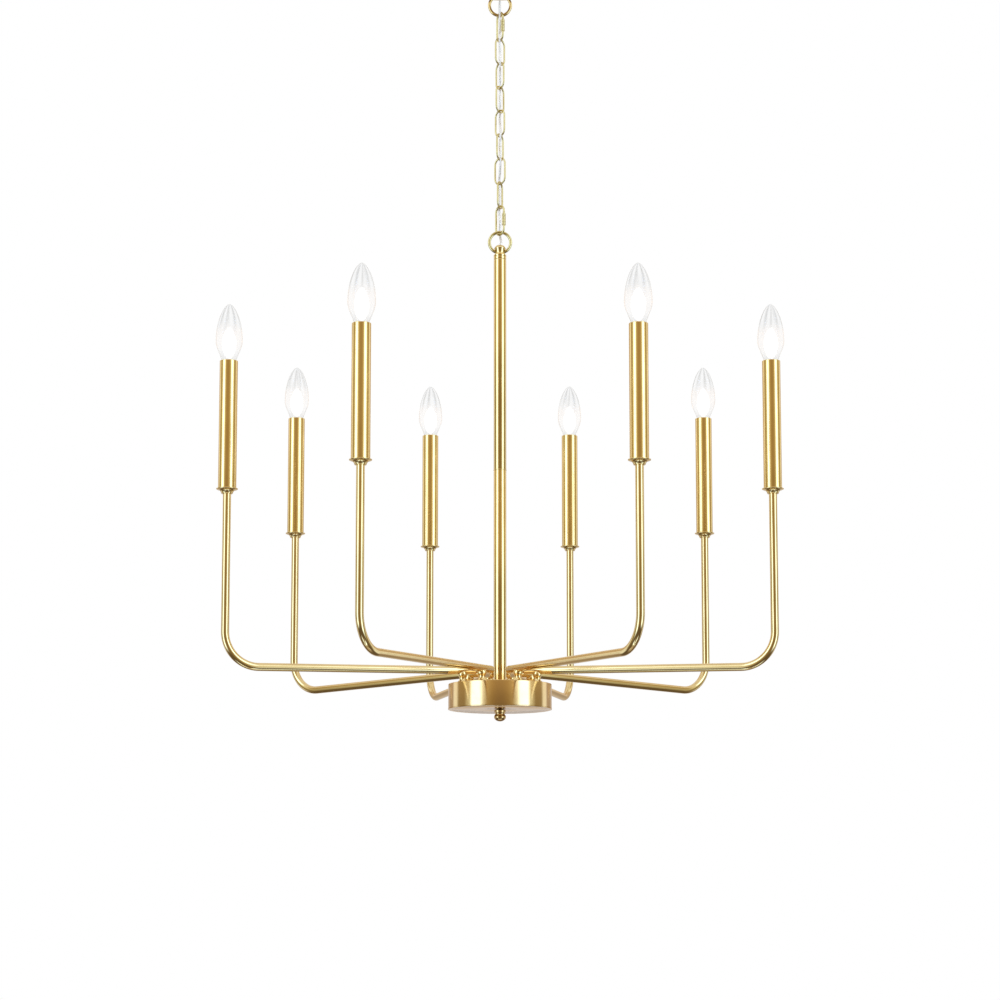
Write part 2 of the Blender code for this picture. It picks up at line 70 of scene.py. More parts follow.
# Ceiling fitting and chain; headings and twists in degrees
CANOPY_RADIUS = 62 * MM
CANOPY_DEPTH = 27 * MM
CANOPY_CORNER = 14 * MM
CANOPY_WALL = 1.2 * MM
BOSS_RADIUS = 9.5 * MM
BOSS_BOTTOM = -33.5 * MM
STUD_RADIUS = 5 * MM
LOCK_NUT_TOP = -2.7 * MM
BRACKET_SCREW_SPACING = 83 * MM
RING_RADIUS = 14.8 * MM
RING_WIRE = 2.1 * MM
TOP_RING_CENTRE = -54.3 * MM
LINK_COUNT = 7
LINK_PITCH = 34.5 * MM
LINK_HALF_WIDTH = 9 * MM
LINK_WIRE = 1.25 * MM
QUICK_PITCH = 38 * MM
QUICK_HALF_WIDTH = 8.4 * MM
QUICK_WIRE = 1.4 * MM
BARREL_RADIUS = 2.7 * MM
BARREL_LENGTH = 17 * MM
BARREL_RIDGES = 8
LINK_TWIST = 3.5
ODD_LINK_ANGLE = 45.0
EVEN_LINK_ANGLE = -62.0
BOTTOM_QUICK_ANGLE = -50.0

# Supply cord: F and B say whether it passes a contact of the chain in front or behind
CORD_RADIUS = 1.8 * MM
CORD_WEAVE = "FFFBBFFBBB"
CORD_OFFSET = 6.6 * MM
CORD_CLEAR_ANGLE = 33.0
CORD_STEP = 3 * MM
STRAND_RADIUS = 0.5 * MM
STRAND_OFFSET = 0.62 * MM
STRAND_TWIST = 0.35

# Stem and hub
STEM_RADIUS = 8.6 * MM
STEM_BORE = 7.4 * MM
STEM_JOINT = 295 * MM
HUB_RADIUS = 70.2 * MM
HUB_HEIGHT = 33 * MM
HUB_INSIDE = HUB_RADIUS - 1.6 * MM
HUB_CENTRE_HOLE = 5.2 * MM
PLATE_THICKNESS = 1.3 * MM

# Arms and candles, heights over the hub's top, angles in degrees from the front
ARM_ANGLES = (26.5, 69.0, 128.5, 163.9)
ARM_REACH = 384 * MM
FOOT_RADIUS_ON_HUB = 54 * MM
ARM_TUBE = 5.3 * MM
ARM_BORE = 4.1 * MM
ARM_BORE_DEPTH = 30 * MM
ARM_HEIGHT = 17.2 * MM
ARM_FALL = 1.15
ARM_INNER_END = 22 * MM
FRONT_ARM_INNER_END = 31 * MM
ELBOW_RADIUS = 45 * MM
ARM_TOP = 250 * MM
CUP_TOP = 245.5 * MM
CUP_RADIUS = 14.3 * MM
SLEEVE_RADIUS = 12 * MM
SLEEVE_BORE = 11.3 * MM
SLEEVE_TOP = 416.3 * MM
SOCKET_TOP = 410 * MM
BULB_SEAT = 386 * MM
BULB_WIDEST = 443 * MM
BULB_RADIUS = 17.7 * MM
BULB_TIP = 493.4 * MM
BULB_TAPER = 0.62
GLASS_FOOT = SOCKET_TOP + 1 * MM
GLOW_LOW = SOCKET_TOP + 7 * MM
GLOW_HIGH = BULB_WIDEST + 22 * MM

# Studio
FLOOR_HEIGHT = -4.6
PEAK = 4.4
# The room's light by the angle from straight behind the camera round to straight behind the lamp
STUDIO_ROUND = (
    (180, (0.66, 0.62, 0.60)),
    (158, (0.62, 0.56, 0.52)),
    (146, (0.46, 0.40, 0.36)),
    (130, (0.50, 0.44, 0.42)),
    (124, (1.05, 1.22, 1.50)),
    (113, (1.05, 1.22, 1.50)),
    (106, (0.34, 0.30, 0.22)),
    (86, (0.32, 0.28, 0.19)),
    (79, (0.60, 0.64, 0.60)),
    (70, (0.85, 1.02, 1.10)),
    (66, (2.00, 2.80, 4.40)),
    (45, (2.00, 2.80, 4.40)),
    (39, (1.00, 1.20, 1.50)),
    (29, (0.48, 0.43, 0.30)),
    (17, (0.33, 0.26, 0.15)),
    (0, (0.26, 0.20, 0.13)),
)
RISEN_LIGHT = (0.20, 0.16, 0.09)
SKY_LIGHT = (0.95, 1.0, 1.15)
LOW_LIGHT = (0.16, 0.13, 0.10)

# Numbers of the outputs that the recipes read
WAY = 0  # Texture Coordinate, the direction in a world
OBJECT_PLACE = 3  # Texture Coordinate, Object
FACING = 1  # Layer Weight
FACTOR = 2  # Attribute
MIXED_COLOUR = 2  # Mix, when it blends colours
SEEN_BY_CAMERA = 0  # Light Path


def wire_offset(wire):
    """From a contact of two links to the centre line of a wire that meets it."""
    return wire + GAP / 2


TOP_CONTACT = TOP_RING_CENTRE - RING_RADIUS + wire_offset(RING_WIRE)
CONTACTS = [TOP_CONTACT, TOP_CONTACT - QUICK_PITCH]
for _ in range(LINK_COUNT):
    CONTACTS.append(CONTACTS[-1] - LINK_PITCH)
CONTACTS.append(CONTACTS[-1] - QUICK_PITCH)
STEM_RING_CENTRE = CONTACTS[-1] + wire_offset(RING_WIRE) - RING_RADIUS
STEM_SWING = next(joint for joint in frame["joints"] if joint["name"] == "stem_swing")
CAP_BORE = STEM_SWING["pos_m"][2]
HUB_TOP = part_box("hub_housing")[1][2]
STEM_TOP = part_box("stem_upper")[1][2]


# ---------------------------------------------------------------- camera


def add_camera():
    """Stands in front of the chandelier, below its hub, and looks slightly up."""
    camera = placed("camera", bpy.data.cameras.new("camera"))
    camera.location = (0, -CAMERA_DISTANCE, CAMERA_HEIGHT)
    camera.rotation_euler = (math.radians(90 + CAMERA_PITCH), 0, 0)
    camera.data.lens = CAMERA_LENS
    camera.data.sensor_width = 36
    camera.data.shift_y = CAMERA_SHIFT
    camera.data.clip_end = 100
    SCENE.camera = camera


# ---------------------------------------------------------------- shader helpers


class Value:
    """A shader socket that takes part in sums."""

    def __init__(self, recipe, socket):
        self.recipe = recipe
        self.socket = socket

    def combine(self, operation, first, second):
        """Adds the Math node of one operator."""
        return self.recipe.node("ShaderNodeMath", {"operation": operation}, {0: first, 1: second})

    def __add__(self, other):
        return self.combine("ADD", self, other)

    def __radd__(self, other):
        return self.combine("ADD", other, self)

    def __sub__(self, other):
        return self.combine("SUBTRACT", self, other)

    def __rsub__(self, other):
        return self.combine("SUBTRACT", other, self)

    def __mul__(self, other):
        return self.combine("MULTIPLY", self, other)

    def __rmul__(self, other):
        return self.combine("MULTIPLY", other, self)

    def __truediv__(self, other):
        return self.combine("DIVIDE", self, other)

    def __pow__(self, other):
        return self.combine("POWER", self, other)


class Recipe:
    """The nodes of one material or of the room's light."""

    def __init__(self, tree):
        self.tree = tree
        tree.nodes.clear()

    def node(self, kind, settings=None, sockets=None, output=0):
        """Adds a node: its settings, then its sockets' values or links; gives the output or outputs."""
        made = self.tree.nodes.new(kind)
        for name, value in (settings or {}).items():
            if name == "stops":
                self.set_stops(made.color_ramp, value)
            else:
                setattr(made, name, value)
        for name, value in (sockets or {}).items():
            if isinstance(value, Value):
                self.tree.links.new(value.socket, made.inputs[name])
            else:
                made.inputs[name].default_value = value
        if isinstance(output, tuple):
            return [Value(self, made.outputs[number]) for number in output]
        return Value(self, made.outputs[output]) if made.outputs else None

    def set_stops(self, ramp, stops):
        """Gives a colour ramp its stops, from its lowest place to its highest."""
        while len(ramp.elements) > 1:
            ramp.elements.remove(ramp.elements[-1])
        ramp.elements[0].position = stops[0][0]
        ramp.elements[0].color = stops[0][1]
        for place, colour in stops[1:]:
            ramp.elements.new(place).color = colour

    def spread(self, value, low, high, new_low=0.0, new_high=1.0):
        """A value carried from one range to another, softly at its ends."""
        sockets = {0: value, 1: low, 2: high, 3: new_low, 4: new_high}
        return self.node("ShaderNodeMapRange", {"interpolation_type": "SMOOTHSTEP"}, sockets)

    def blend_colours(self, amount, first, second):
        """The first colour where the amount is 0, the second where it is 1."""
        sockets = {0: amount, 6: first, 7: second}
        return self.node("ShaderNodeMix", {"data_type": "RGBA"}, sockets, MIXED_COLOUR)

    def grain(self, scale, detail=3.0, stretch=(1, 1, 1)):
        """Noise over the piece, drawn out along an axis where stretch is small."""
        place = self.node("ShaderNodeTexCoord", output=OBJECT_PLACE)
        place = self.node("ShaderNodeVectorMath", {"operation": "MULTIPLY"}, {0: place, 1: stretch})
        sockets = {"Vector": place, "Scale": scale, "Detail": detail}
        return self.node("ShaderNodeTexNoise", None, sockets)

    def facing(self, blend):
        """How far the surface turns away from the eye, for gloss and glass."""
        return self.node("ShaderNodeLayerWeight", None, {"Blend": blend}, FACING)

    def attribute(self, name):
        """A number that the piece's own points carry."""
        return self.node("ShaderNodeAttribute", {"attribute_name": name}, None, FACTOR)


def finish_recipe(name):
    """A new material and the recipe that fills it."""
    made = bpy.data.materials.new(name)
    made.use_nodes = True
    return made, Recipe(made.node_tree)


def close_recipe(recipe, sockets):
    """Ends a finish with its Principled shader."""
    shader = recipe.node("ShaderNodeBsdfPrincipled", None, sockets)
    recipe.node("ShaderNodeOutputMaterial", None, {"Surface": shader})


def metal_finish(name, colour, tarnish, roughness, brushing=None, relief=0.0012):
    """A metal with faint clouding, fine wear and, where brushing gives its direction, hairlines."""
    made, recipe = finish_recipe(name)
    clouds = recipe.grain(28.0, 2.0)
    fine = recipe.grain(900.0, 2.0, brushing or (1, 1, 1))
    wear = recipe.spread(recipe.grain(140.0, 4.0), 0.42, 0.75)
    amount = recipe.spread(clouds, 0.3, 0.75, 0.0, 0.6) + wear * 0.25
    tone = recipe.blend_colours(amount, (*colour, 1), (*tarnish, 1))
    rough = roughness + (fine - 0.5) * 0.03 + wear * 0.02
    bump = recipe.node("ShaderNodeBump", None, {"Strength": relief, "Distance": 0.0002, "Height": fine})
    close_recipe(recipe, {"Base Color": tone, "Metallic": 1.0, "Roughness": rough, "Normal": bump})
    return made


def plastic_finish(name, colour, speck, roughness, alpha=None):
    """A moulded plastic with a slight mottle; alpha gives how clear it is at its middle and edge."""
    made, recipe = finish_recipe(name)
    mottle = recipe.spread(recipe.grain(220.0, 3.0), 0.35, 0.7)
    tone = recipe.blend_colours(mottle, (*colour, 1), (*speck, 1))
    rough = roughness + mottle * 0.08
    sockets = {"Base Color": tone, "Roughness": rough}
    if alpha:
        sockets["Alpha"] = recipe.spread(recipe.facing(0.4), 0.1, 0.95, *alpha)
    close_recipe(recipe, sockets)
    return made


def envelope_finish():
    """Clear glass with lengthwise streaks above, a painted warm glow in a band round the light, and
    painted shade near its foot.
    """
    made, recipe = finish_recipe("clear_glass")
    # Glass colour by height: grey, with a painted glow of warm peach in the band round the light
    stops = (
        (0.0, (0.38, 0.35, 0.29, 1)),
        (0.22, (0.42, 0.36, 0.28, 1)),
        (0.34, (0.66, 0.43, 0.25, 1)),
        (0.54, (0.66, 0.44, 0.27, 1)),
        (0.64, (0.38, 0.35, 0.29, 1)),
        (1.0, (0.32, 0.30, 0.26, 1)),
    )
    height = recipe.attribute("height")
    streak = recipe.attribute("streak")
    # painted glow: the lamp's light on the glass, painted into its colour as a warm band
    painted_glow = recipe.node("ShaderNodeValToRGB", {"stops": stops}, {0: height})
    rim = recipe.spread(recipe.facing(0.35), 0.35, 0.95, 0.0, 0.34)
    ripple = recipe.spread(recipe.grain(60.0, 2.0), 0.4, 0.7, 0.0, 0.03)
    # The streak attribute also carries painted shade near the foot of the glass.
    cover = 0.04 + rim + streak * 0.30 + ripple
    close_recipe(recipe, {"Base Color": painted_glow, "Roughness": 0.04, "Alpha": cover})
    return made


def glow_finish():
    """The lit middle of a bulb, brightest at its heart and fading out to its edge."""
    made, recipe = finish_recipe("candle_glow")
    height = recipe.attribute("height")
    heart = recipe.spread(recipe.facing(0.5), 0.15, 0.85, 1.0, 0.0)
    tone = recipe.blend_colours(heart, (1.0, 0.86, 0.70, 1), (1.0, 0.98, 0.93, 1))
    ends = recipe.spread(height, 0.0, 0.25) * recipe.spread(height, 0.98, 0.62)
    sockets = {"Base Color": (1.0, 0.96, 0.88, 1), "Roughness": 1.0, "Alpha": heart * ends * 0.9}
    close_recipe(recipe, {**sockets, "Emission Color": tone, "Emission Strength": 0.75})
    return made


def floor_finish():
    """A pale matt floor that the studio lights evenly."""
    made, recipe = finish_recipe("studio_floor")
    mottle = recipe.grain(1.5, 2.0)
    tone = recipe.blend_colours(mottle, (0.20, 0.20, 0.20, 1), (0.22, 0.22, 0.22, 1))
    sockets = {"Base Color": tone, "Roughness": 0.9}
    close_recipe(recipe, {**sockets, "Emission Color": (1, 1, 1, 1), "Emission Strength": 0.85})
    return made


ALONG_Z = (1, 1, 0.03)
SATIN_BRASS = metal_finish("satin_brass", (0.80, 0.57, 0.225), (0.71, 0.49, 0.18), 0.12, ALONG_Z)
HUB_BRASS = metal_finish("hub_brass", (0.80, 0.54, 0.23), (0.71, 0.46, 0.18), 0.12, ALONG_Z)
ARM_BRASS = metal_finish("arm_brass", (0.78, 0.565, 0.24), (0.68, 0.48, 0.19), 0.09)
POLISHED_BRASS = metal_finish("polished_brass", (0.82, 0.61, 0.26), (0.74, 0.52, 0.20), 0.06)
# painted shade: the finial's polished brass is made much darker than the rest, standing for the dark
# reflections on the ball
FINIAL_BRASS_PAINTED_SHADE = metal_finish("finial_brass_painted_shade", (0.60, 0.38, 0.14), (0.48, 0.28, 0.09), 0.04)
CHAIN_GILT = metal_finish("chain_gilt", (0.74, 0.60, 0.26), (0.60, 0.46, 0.18), 0.10)
ZINC = metal_finish("zinc_plate", (0.62, 0.63, 0.64), (0.50, 0.51, 0.52), 0.34, relief=0.06)
NICKEL = metal_finish("bulb_cap_nickel", (0.78, 0.74, 0.68), (0.66, 0.62, 0.56), 0.22)
CONDUCTOR = metal_finish("cord_strands", (0.80, 0.72, 0.56), (0.68, 0.60, 0.46), 0.35)
CORD_JACKET = plastic_finish(
    "clear_cord_jacket", (0.76, 0.68, 0.58), (0.68, 0.61, 0.52), 0.18, alpha=(0.20, 0.62)
)
SOCKET_BLACK = plastic_finish("socket_black", (0.025, 0.024, 0.023), (0.045, 0.043, 0.04), 0.38)
PORCELAIN = plastic_finish("bulb_insulator", (0.10, 0.10, 0.11), (0.14, 0.14, 0.15), 0.2)
GLASS_PAINTED_GLOW_AND_SHADE = envelope_finish()
CANDLE_GLOW = glow_finish()


# ---------------------------------------------------------------- making pieces


def mesh_of(shape, name):
    """Ends a bmesh and gives its mesh."""
    mesh = bpy.data.meshes.new(name)
    shape.to_mesh(mesh)
    shape.free()
    return mesh


def placed(name, data):
    """A new object in the scene, at the origin."""
    made = bpy.data.objects.new(name, data)
    SCENE.collection.objects.link(made)
    return made


def add_piece(name, shape, finish, body, replaced=()):
    """Turns a bmesh into a finished piece that rides on a body."""
    return add_mesh(name, mesh_of(shape, name), finish, body, replaced)


def add_mesh(name, mesh, finish, body, replaced=(), crease=32.0):
    """Turns a mesh into a finished piece, sharp where its faces meet at more than the crease."""
    mesh.shade_smooth()
    mesh.set_sharp_from_angle(angle=math.radians(crease))
    mesh.materials.clear()
    mesh.materials.append(finish)
    piece = placed(name, mesh)
    if body:
        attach(piece, body)
    if replaced:
        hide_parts(*replaced)
    return piece


def close_up(shape):
    """Merges doubles and turns the faces out."""
    bmesh.ops.remove_doubles(shape, verts=shape.verts, dist=0.002 * MM)
    bmesh.ops.recalc_face_normals(shape, faces=shape.faces)
    return shape


def soften(shape, width, angle=35.0, segments=2):
    """Rounds every edge that is sharper than the angle."""
    limit = math.radians(angle)
    sharp = [edge for edge in shape.edges if edge.is_manifold and edge.calc_face_angle() > limit]
    bmesh.ops.bevel(
        shape,
        geom=sharp,
        offset=width,
        segments=segments,
        profile=0.5,
        affect="EDGES",
        material=-1,
        clamp_overlap=True,
    )
    return shape


def turned(profile, segments):
    """A solid turned about Z from an outline of (r, z), which is closed unless it starts on the axis."""
    shape = bmesh.new()
    points = [shape.verts.new((r, 0, z)) for r, z in profile]
    edges = [shape.edges.new(pair) for pair in zip(points, points[1:])]
    if profile[0][0] > 0:
        edges.append(shape.edges.new((points[-1], points[0])))
    bmesh.ops.spin(
        shape,
        geom=points + edges,
        axis=(0, 0, 1),
        angle=math.tau,
        steps=segments,
        use_merge=True,
    )
    return close_up(shape)


def arc(centre_r, centre_z, radius, start, end, steps):
    """Points of an arc in the (r, z) half plane, its angles in degrees from +r towards +z."""
    points = []
    for step in range(steps + 1):
        angle = math.radians(start + (end - start) * step / steps)
        points.append((centre_r + radius * math.cos(angle), centre_z + radius * math.sin(angle)))
    return points


def moved(shape, *steps):
    """The shape carried by each matrix in turn."""
    for step in steps:
        bmesh.ops.transform(shape, matrix=step, verts=shape.verts)
    return shape


def shift(x, y, z):
    """The matrix that carries a shape by a distance."""
    return Matrix.Translation((x, y, z))


def turn(degrees, axis="Z"):
    """The matrix that turns a shape about an axis through the origin."""
    return Matrix.Rotation(math.radians(degrees), 4, axis)


def section(shape, radius, sides, place):
    """A ring of edges that a tube is drawn from; it lies across the place's own Z."""
    made = bmesh.ops.create_circle(shape, segments=sides, radius=radius, matrix=place)
    return [edge for edge in shape.edges if edge.verts[0] in made["verts"]]


def run(shape, ring, vector, scale=1.0):
    """Draws the tube's open end along a vector."""
    grown = bmesh.ops.extrude_edge_only(shape, edges=ring)["geom"]
    verts = [item for item in grown if isinstance(item, bmesh.types.BMVert)]
    bmesh.ops.translate(shape, verts=verts, vec=vector)
    if scale != 1.0:
        middle = sum((vert.co for vert in verts), Vector()) / len(verts)
        for vert in verts:
            vert.co = middle + (vert.co - middle) * scale
    return [item for item in grown if isinstance(item, bmesh.types.BMEdge)]


def bend(shape, ring, centre, axis, degrees, steps):
    """Draws the tube's open end round a centre."""
    verts = list({vert for edge in ring for vert in edge.verts})
    grown = bmesh.ops.spin(
        shape,
        geom=verts + ring,
        cent=centre,
        axis=axis,
        angle=math.radians(degrees),
        steps=steps,
    )["geom_last"]
    return [item for item in grown if isinstance(item, bmesh.types.BMEdge)]


def cap_off(shape, ring):
    """Closes the tube's open end with one face."""
    bmesh.ops.edgeloop_fill(shape, edges=ring)


def joined(*shapes):
    """Several shapes as one."""
    whole = bmesh.new()
    for shape in shapes:
        mesh = mesh_of(shape, "part")
        whole.from_mesh(mesh)
        bpy.data.meshes.remove(mesh)
    return whole


def bar(radius, start, end, sides):
    """A round or many-sided bar between two points."""
    start, end = Vector(start), Vector(end)
    facing = (end - start).to_track_quat("Z", "Y").to_matrix().to_4x4()
    shape = bmesh.new()
    bmesh.ops.create_cone(
        shape,
        cap_ends=True,
        segments=sides,
        radius1=radius,
        radius2=radius,
        depth=(end - start).length,
        matrix=shift(*((start + end) / 2)) @ facing,
    )
    return shape


def drilled(shape, *tools):
    """The shape with each tool cut away, and without the slivers that a cut can leave."""
    base = placed("base", mesh_of(shape, "base"))
    cutters = [placed("cutter", mesh_of(tool, "cutter")) for tool in tools]
    for cutter in cutters:
        cut = base.modifiers.new("cut", "BOOLEAN")
        cut.operation = "DIFFERENCE"
        cut.solver = "EXACT"
        cut.object = cutter
    graph = bpy.context.evaluated_depsgraph_get()
    result = bmesh.new()
    result.from_mesh(base.evaluated_get(graph).to_mesh())
    for helper in (base, *cutters):
        bpy.data.objects.remove(helper)
    bmesh.ops.dissolve_degenerate(result, dist=SLIVER, edges=result.edges)
    return result


# ---------------------------------------------------------------- supply cord


def link_angle(index):
    """The heading of the plane of chain member 0 (top quick link) to LINK_COUNT + 1 (bottom one)."""
    if index == LINK_COUNT + 1:
        return BOTTOM_QUICK_ANGLE
    start = ODD_LINK_ANGLE if index % 2 else EVEN_LINK_ANGLE
    return start + LINK_TWIST * index


def cord_heading(index):
    """Where the cord passes contact number index: in front or behind, and clear of both wires."""
    centre = -90.0 if CORD_WEAVE[index] == "F" else 90.0
    lines = [0.0 if index == 0 else link_angle(index - 1)]
    lines.append(0.0 if index == LINK_COUNT + 2 else link_angle(index))
    around = [line + half * 180 - centre for line in lines for half in (-1, 0, 1)]
    below = centre + max(angle for angle in around if angle <= 0)
    above = centre + min(angle for angle in around if angle > 0)
    if above - below < 2 * CORD_CLEAR_ANGLE:
        return (below + above) / 2
    return min(max(centre, below + CORD_CLEAR_ANGLE), above - CORD_CLEAR_ANGLE)


def cord_route():
    """The places that the cord passes, from inside the canopy loop's boss to inside the stem cap."""
    route = [(0, -3.7 * MM, -31.6 * MM), (0, -5.6 * MM, -35 * MM), (0, -6.8 * MM, -45 * MM)]
    for index, contact in enumerate(CONTACTS):
        heading = math.radians(cord_heading(index))
        route.append((CORD_OFFSET * math.cos(heading), CORD_OFFSET * math.sin(heading), contact))
        if index < len(CONTACTS) - 1:
            same_side = CORD_WEAVE[index] == CORD_WEAVE[index + 1]
            side = -1 if CORD_WEAVE[index] == "F" else 1
            middle = (contact + CONTACTS[index + 1]) / 2
            route.append((0, side * 3.8 * MM if same_side else 0, middle))
    route += [(1.6 * MM, 1.2 * MM, CAP_BORE + 15 * MM)]
    route += [(0, 0, CAP_BORE + 9.5 * MM), (0, 0, CAP_BORE + 4.5 * MM)]
    return [Vector(point) for point in route]


def smooth_through(route, step):
    """Points about a step apart on a smooth curve through the route."""
    ends = [2 * route[0] - route[1], *route, 2 * route[-1] - route[-2]]
    points = []
    for before, start, end, after in zip(ends, ends[1:], ends[2:], ends[3:]):
        count = max(1, round((end - start).length / step))
        for part in range(count):
            t = part / count
            straight = 2 * start + t * (end - before)
            square = t * t * (2 * before - 5 * start + 4 * end - after)
            cube = t * t * t * (3 * start - before - 3 * end + after)
            points.append(0.5 * (straight + square + cube))
    return [*points, route[-1]]


def curve_tube(points, radius, sides):
    """A closed tube along points, as a bmesh."""
    curve = bpy.data.curves.new("tube", "CURVE")
    curve.dimensions = "3D"
    curve.bevel_depth = radius
    curve.bevel_resolution = (sides - 4) // 2
    curve.use_fill_caps = True
    line = curve.splines.new("POLY")
    line.points.add(len(points) - 1)
    for spot, point in zip(line.points, points):
        spot.co = (*point, 1)
    helper = placed("tube", curve)
    graph = bpy.context.evaluated_depsgraph_get()
    shape = bmesh.new()
    shape.from_mesh(helper.evaluated_get(graph).to_mesh())
    bpy.data.objects.remove(helper)
    bpy.data.curves.remove(curve)
    return close_up(shape)


CHAIN_BODIES = [
    "ceiling_mounting",
    "quick_link_top",
    *[f"chain_link_{n}" for n in range(1, LINK_COUNT + 1)],
    "quick_link_bottom",
    "stem_ring",
    "stem",
]


def cord_cuts():
    """For each joint of the chain: where its stretch of cord starts and ends, and where it bends."""
    middles = [(upper + lower) / 2 for upper, lower in zip(CONTACTS, CONTACTS[1:])]
    ring_cut = CAP_BORE + 19.5 * MM
    tops = [0.0, *middles, ring_cut]
    bottoms = [*middles, ring_cut, CAP_BORE]
    reach = [16 * MM, *[11 * MM] * (len(CONTACTS) - 1)]
    starts = [*[contact + near for contact, near in zip(CONTACTS, reach)], ring_cut]
    ends = [contact - near for contact, near in zip(CONTACTS[:-1], reach)]
    ends += [ring_cut, CAP_BORE + 9.8 * MM]
    return list(zip(tops, bottoms, starts, ends))


def cut_stretch(shape, top, bottom):
    """The stretch of an upright tube between two heights, closed where it is cut."""
    for height, normal in ((top, (0, 0, 1)), (bottom, (0, 0, -1))):
        cut = bmesh.ops.bisect_plane(
            shape,
            geom=list(shape.verts) + list(shape.edges) + list(shape.faces),
            dist=1e-7,
            plane_co=(0, 0, height),
            plane_no=normal,
            clear_outer=True,
        )["geom_cut"]
        rim = [item for item in cut if isinstance(item, bmesh.types.BMEdge)]
        if rim:
            bmesh.ops.edgeloop_fill(shape, edges=rim)
    return close_up(shape)


def add_cord():
    """The clear cord with its two strands, in one stretch for each joint of the chain."""
    points = smooth_through(cord_route(), CORD_STEP)
    strands = []
    for side in (-1, 1):
        wound = []
        for number, point in enumerate(points):
            around = STRAND_TWIST * number + math.pi * (side > 0)
            wound.append(point + Vector((math.cos(around), math.sin(around), 0)) * STRAND_OFFSET)
        strands.append(wound)
    for number, (top, bottom, start, end) in enumerate(cord_cuts()):
        upper, lower = CHAIN_BODIES[number], CHAIN_BODIES[number + 1]
        jacket = cut_stretch(curve_tube(points, CORD_RADIUS, 16), top, bottom)
        tubes = [curve_tube(line, STRAND_RADIUS, 8) for line in strands]
        pair = joined(*[cut_stretch(tube, top, bottom) for tube in tubes])
        for name, shape, finish in (
            (f"cord_jacket_{number + 1}", jacket, CORD_JACKET),
            (f"cord_strands_{number + 1}", pair, CONDUCTOR),
        ):
            piece = add_piece(name, shape, finish, None)
            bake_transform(piece)
            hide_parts("supply_cord")


# ---------------------------------------------------------------- ceiling fitting and chain


def ring_shape(radius, wire, around, sides):
    """A wire ring that stands in the XZ plane, centred on the origin."""
    shape = bmesh.new()
    ring = section(shape, wire, sides, shift(radius, 0, 0))
    bend(shape, ring, (0, 0, 0), (0, 1, 0), 360, around)
    return close_up(shape)


def oval_shape(half_width, height, wire, sides=16, steps=20):
    """A wire oval in the XZ plane, centred on the origin."""
    straight = height / 2 - half_width
    shape = bmesh.new()
    ring = section(shape, wire, sides, shift(half_width, 0, -straight))
    ring = run(shape, ring, (0, 0, 2 * straight))
    ring = bend(shape, ring, (0, 0, straight), (0, -1, 0), 180, steps)
    ring = run(shape, ring, (0, 0, -2 * straight))
    bend(shape, ring, (0, 0, -straight), (0, -1, 0), 180, steps)
    return close_up(shape)


def barrel_shape():
    """The nut that closes a quick link, grooved all along, centred on the origin."""
    half = BARREL_LENGTH / 2
    low = BARREL_RADIUS - 0.35 * MM
    inside = QUICK_WIRE - 0.2 * MM
    outline = [(inside, -half), (low, -half)]
    for ridge in range(BARREL_RIDGES):
        z = (ridge + 0.5) * BARREL_LENGTH / BARREL_RIDGES - half
        outline += [(low, z - 0.8 * MM), (BARREL_RADIUS, z - 0.4 * MM)]
        outline += [(BARREL_RADIUS, z + 0.4 * MM), (low, z + 0.8 * MM)]
    outline += [(low, half), (inside, half)]
    return turned(outline, 40)


def threads_round(radius, depth, heights, around, x=0.0):
    """Thread crests on an upright bar that stands at x, one flat ring for each height."""
    crests = []
    for z in heights:
        crest = ring_shape(radius, depth, around, 8)
        crests.append(moved(crest, turn(90, "X"), shift(x, 0, z)))
    return joined(*crests)


def add_quick_link(name, carry):
    """An oval with a nut over its opening and the end of its thread above the nut."""
    height = QUICK_PITCH + 2 * wire_offset(QUICK_WIRE)
    oval = moved(oval_shape(QUICK_HALF_WIDTH, height, QUICK_WIRE), *carry)
    add_piece(name + "_oval", oval, CHAIN_GILT, name, [name])
    nut = moved(barrel_shape(), shift(QUICK_HALF_WIDTH, 0, 0), *carry)
    add_piece(name + "_barrel", nut, CHAIN_GILT, name, [name])
    heights = [BARREL_LENGTH / 2 + (0.5 + 0.55 * crest) * MM for crest in range(5)]
    thread = threads_round(QUICK_WIRE, 0.16 * MM, heights, 24, QUICK_HALF_WIDTH)
    add_piece(name + "_thread", moved(thread, *carry), CHAIN_GILT, name, [name])


def add_plain_link(name, carry):
    """An oval of wire with the low bead of its weld half way up one side."""
    oval = oval_shape(LINK_HALF_WIDTH, LINK_PITCH + 2 * wire_offset(LINK_WIRE), LINK_WIRE)
    weld = ring_shape(LINK_WIRE, 0.12 * MM, 24, 8)
    moved(weld, turn(90, "X"), shift(-LINK_HALF_WIDTH, 0, 0))
    link = moved(joined(oval, weld), *carry)
    add_piece(name + "_oval", link, CHAIN_GILT, name, [name])


def add_chain():
    """The links from the top quick link to the bottom one, then the stem's ring."""
    for index, name in enumerate(CHAIN_BODIES[1:-2]):
        middle = (CONTACTS[index] + CONTACTS[index + 1]) / 2
        carry = (turn(link_angle(index)), shift(0, 0, middle))
        if name.startswith("quick"):
            add_quick_link(name, carry)
        else:
            add_plain_link(name, carry)
    ring = moved(ring_shape(RING_RADIUS, RING_WIRE, 72, 20), shift(0, 0, STEM_RING_CENTRE))
    add_piece("stem_ring_wire", ring, CHAIN_GILT, "stem_ring", ["stem_ring"])


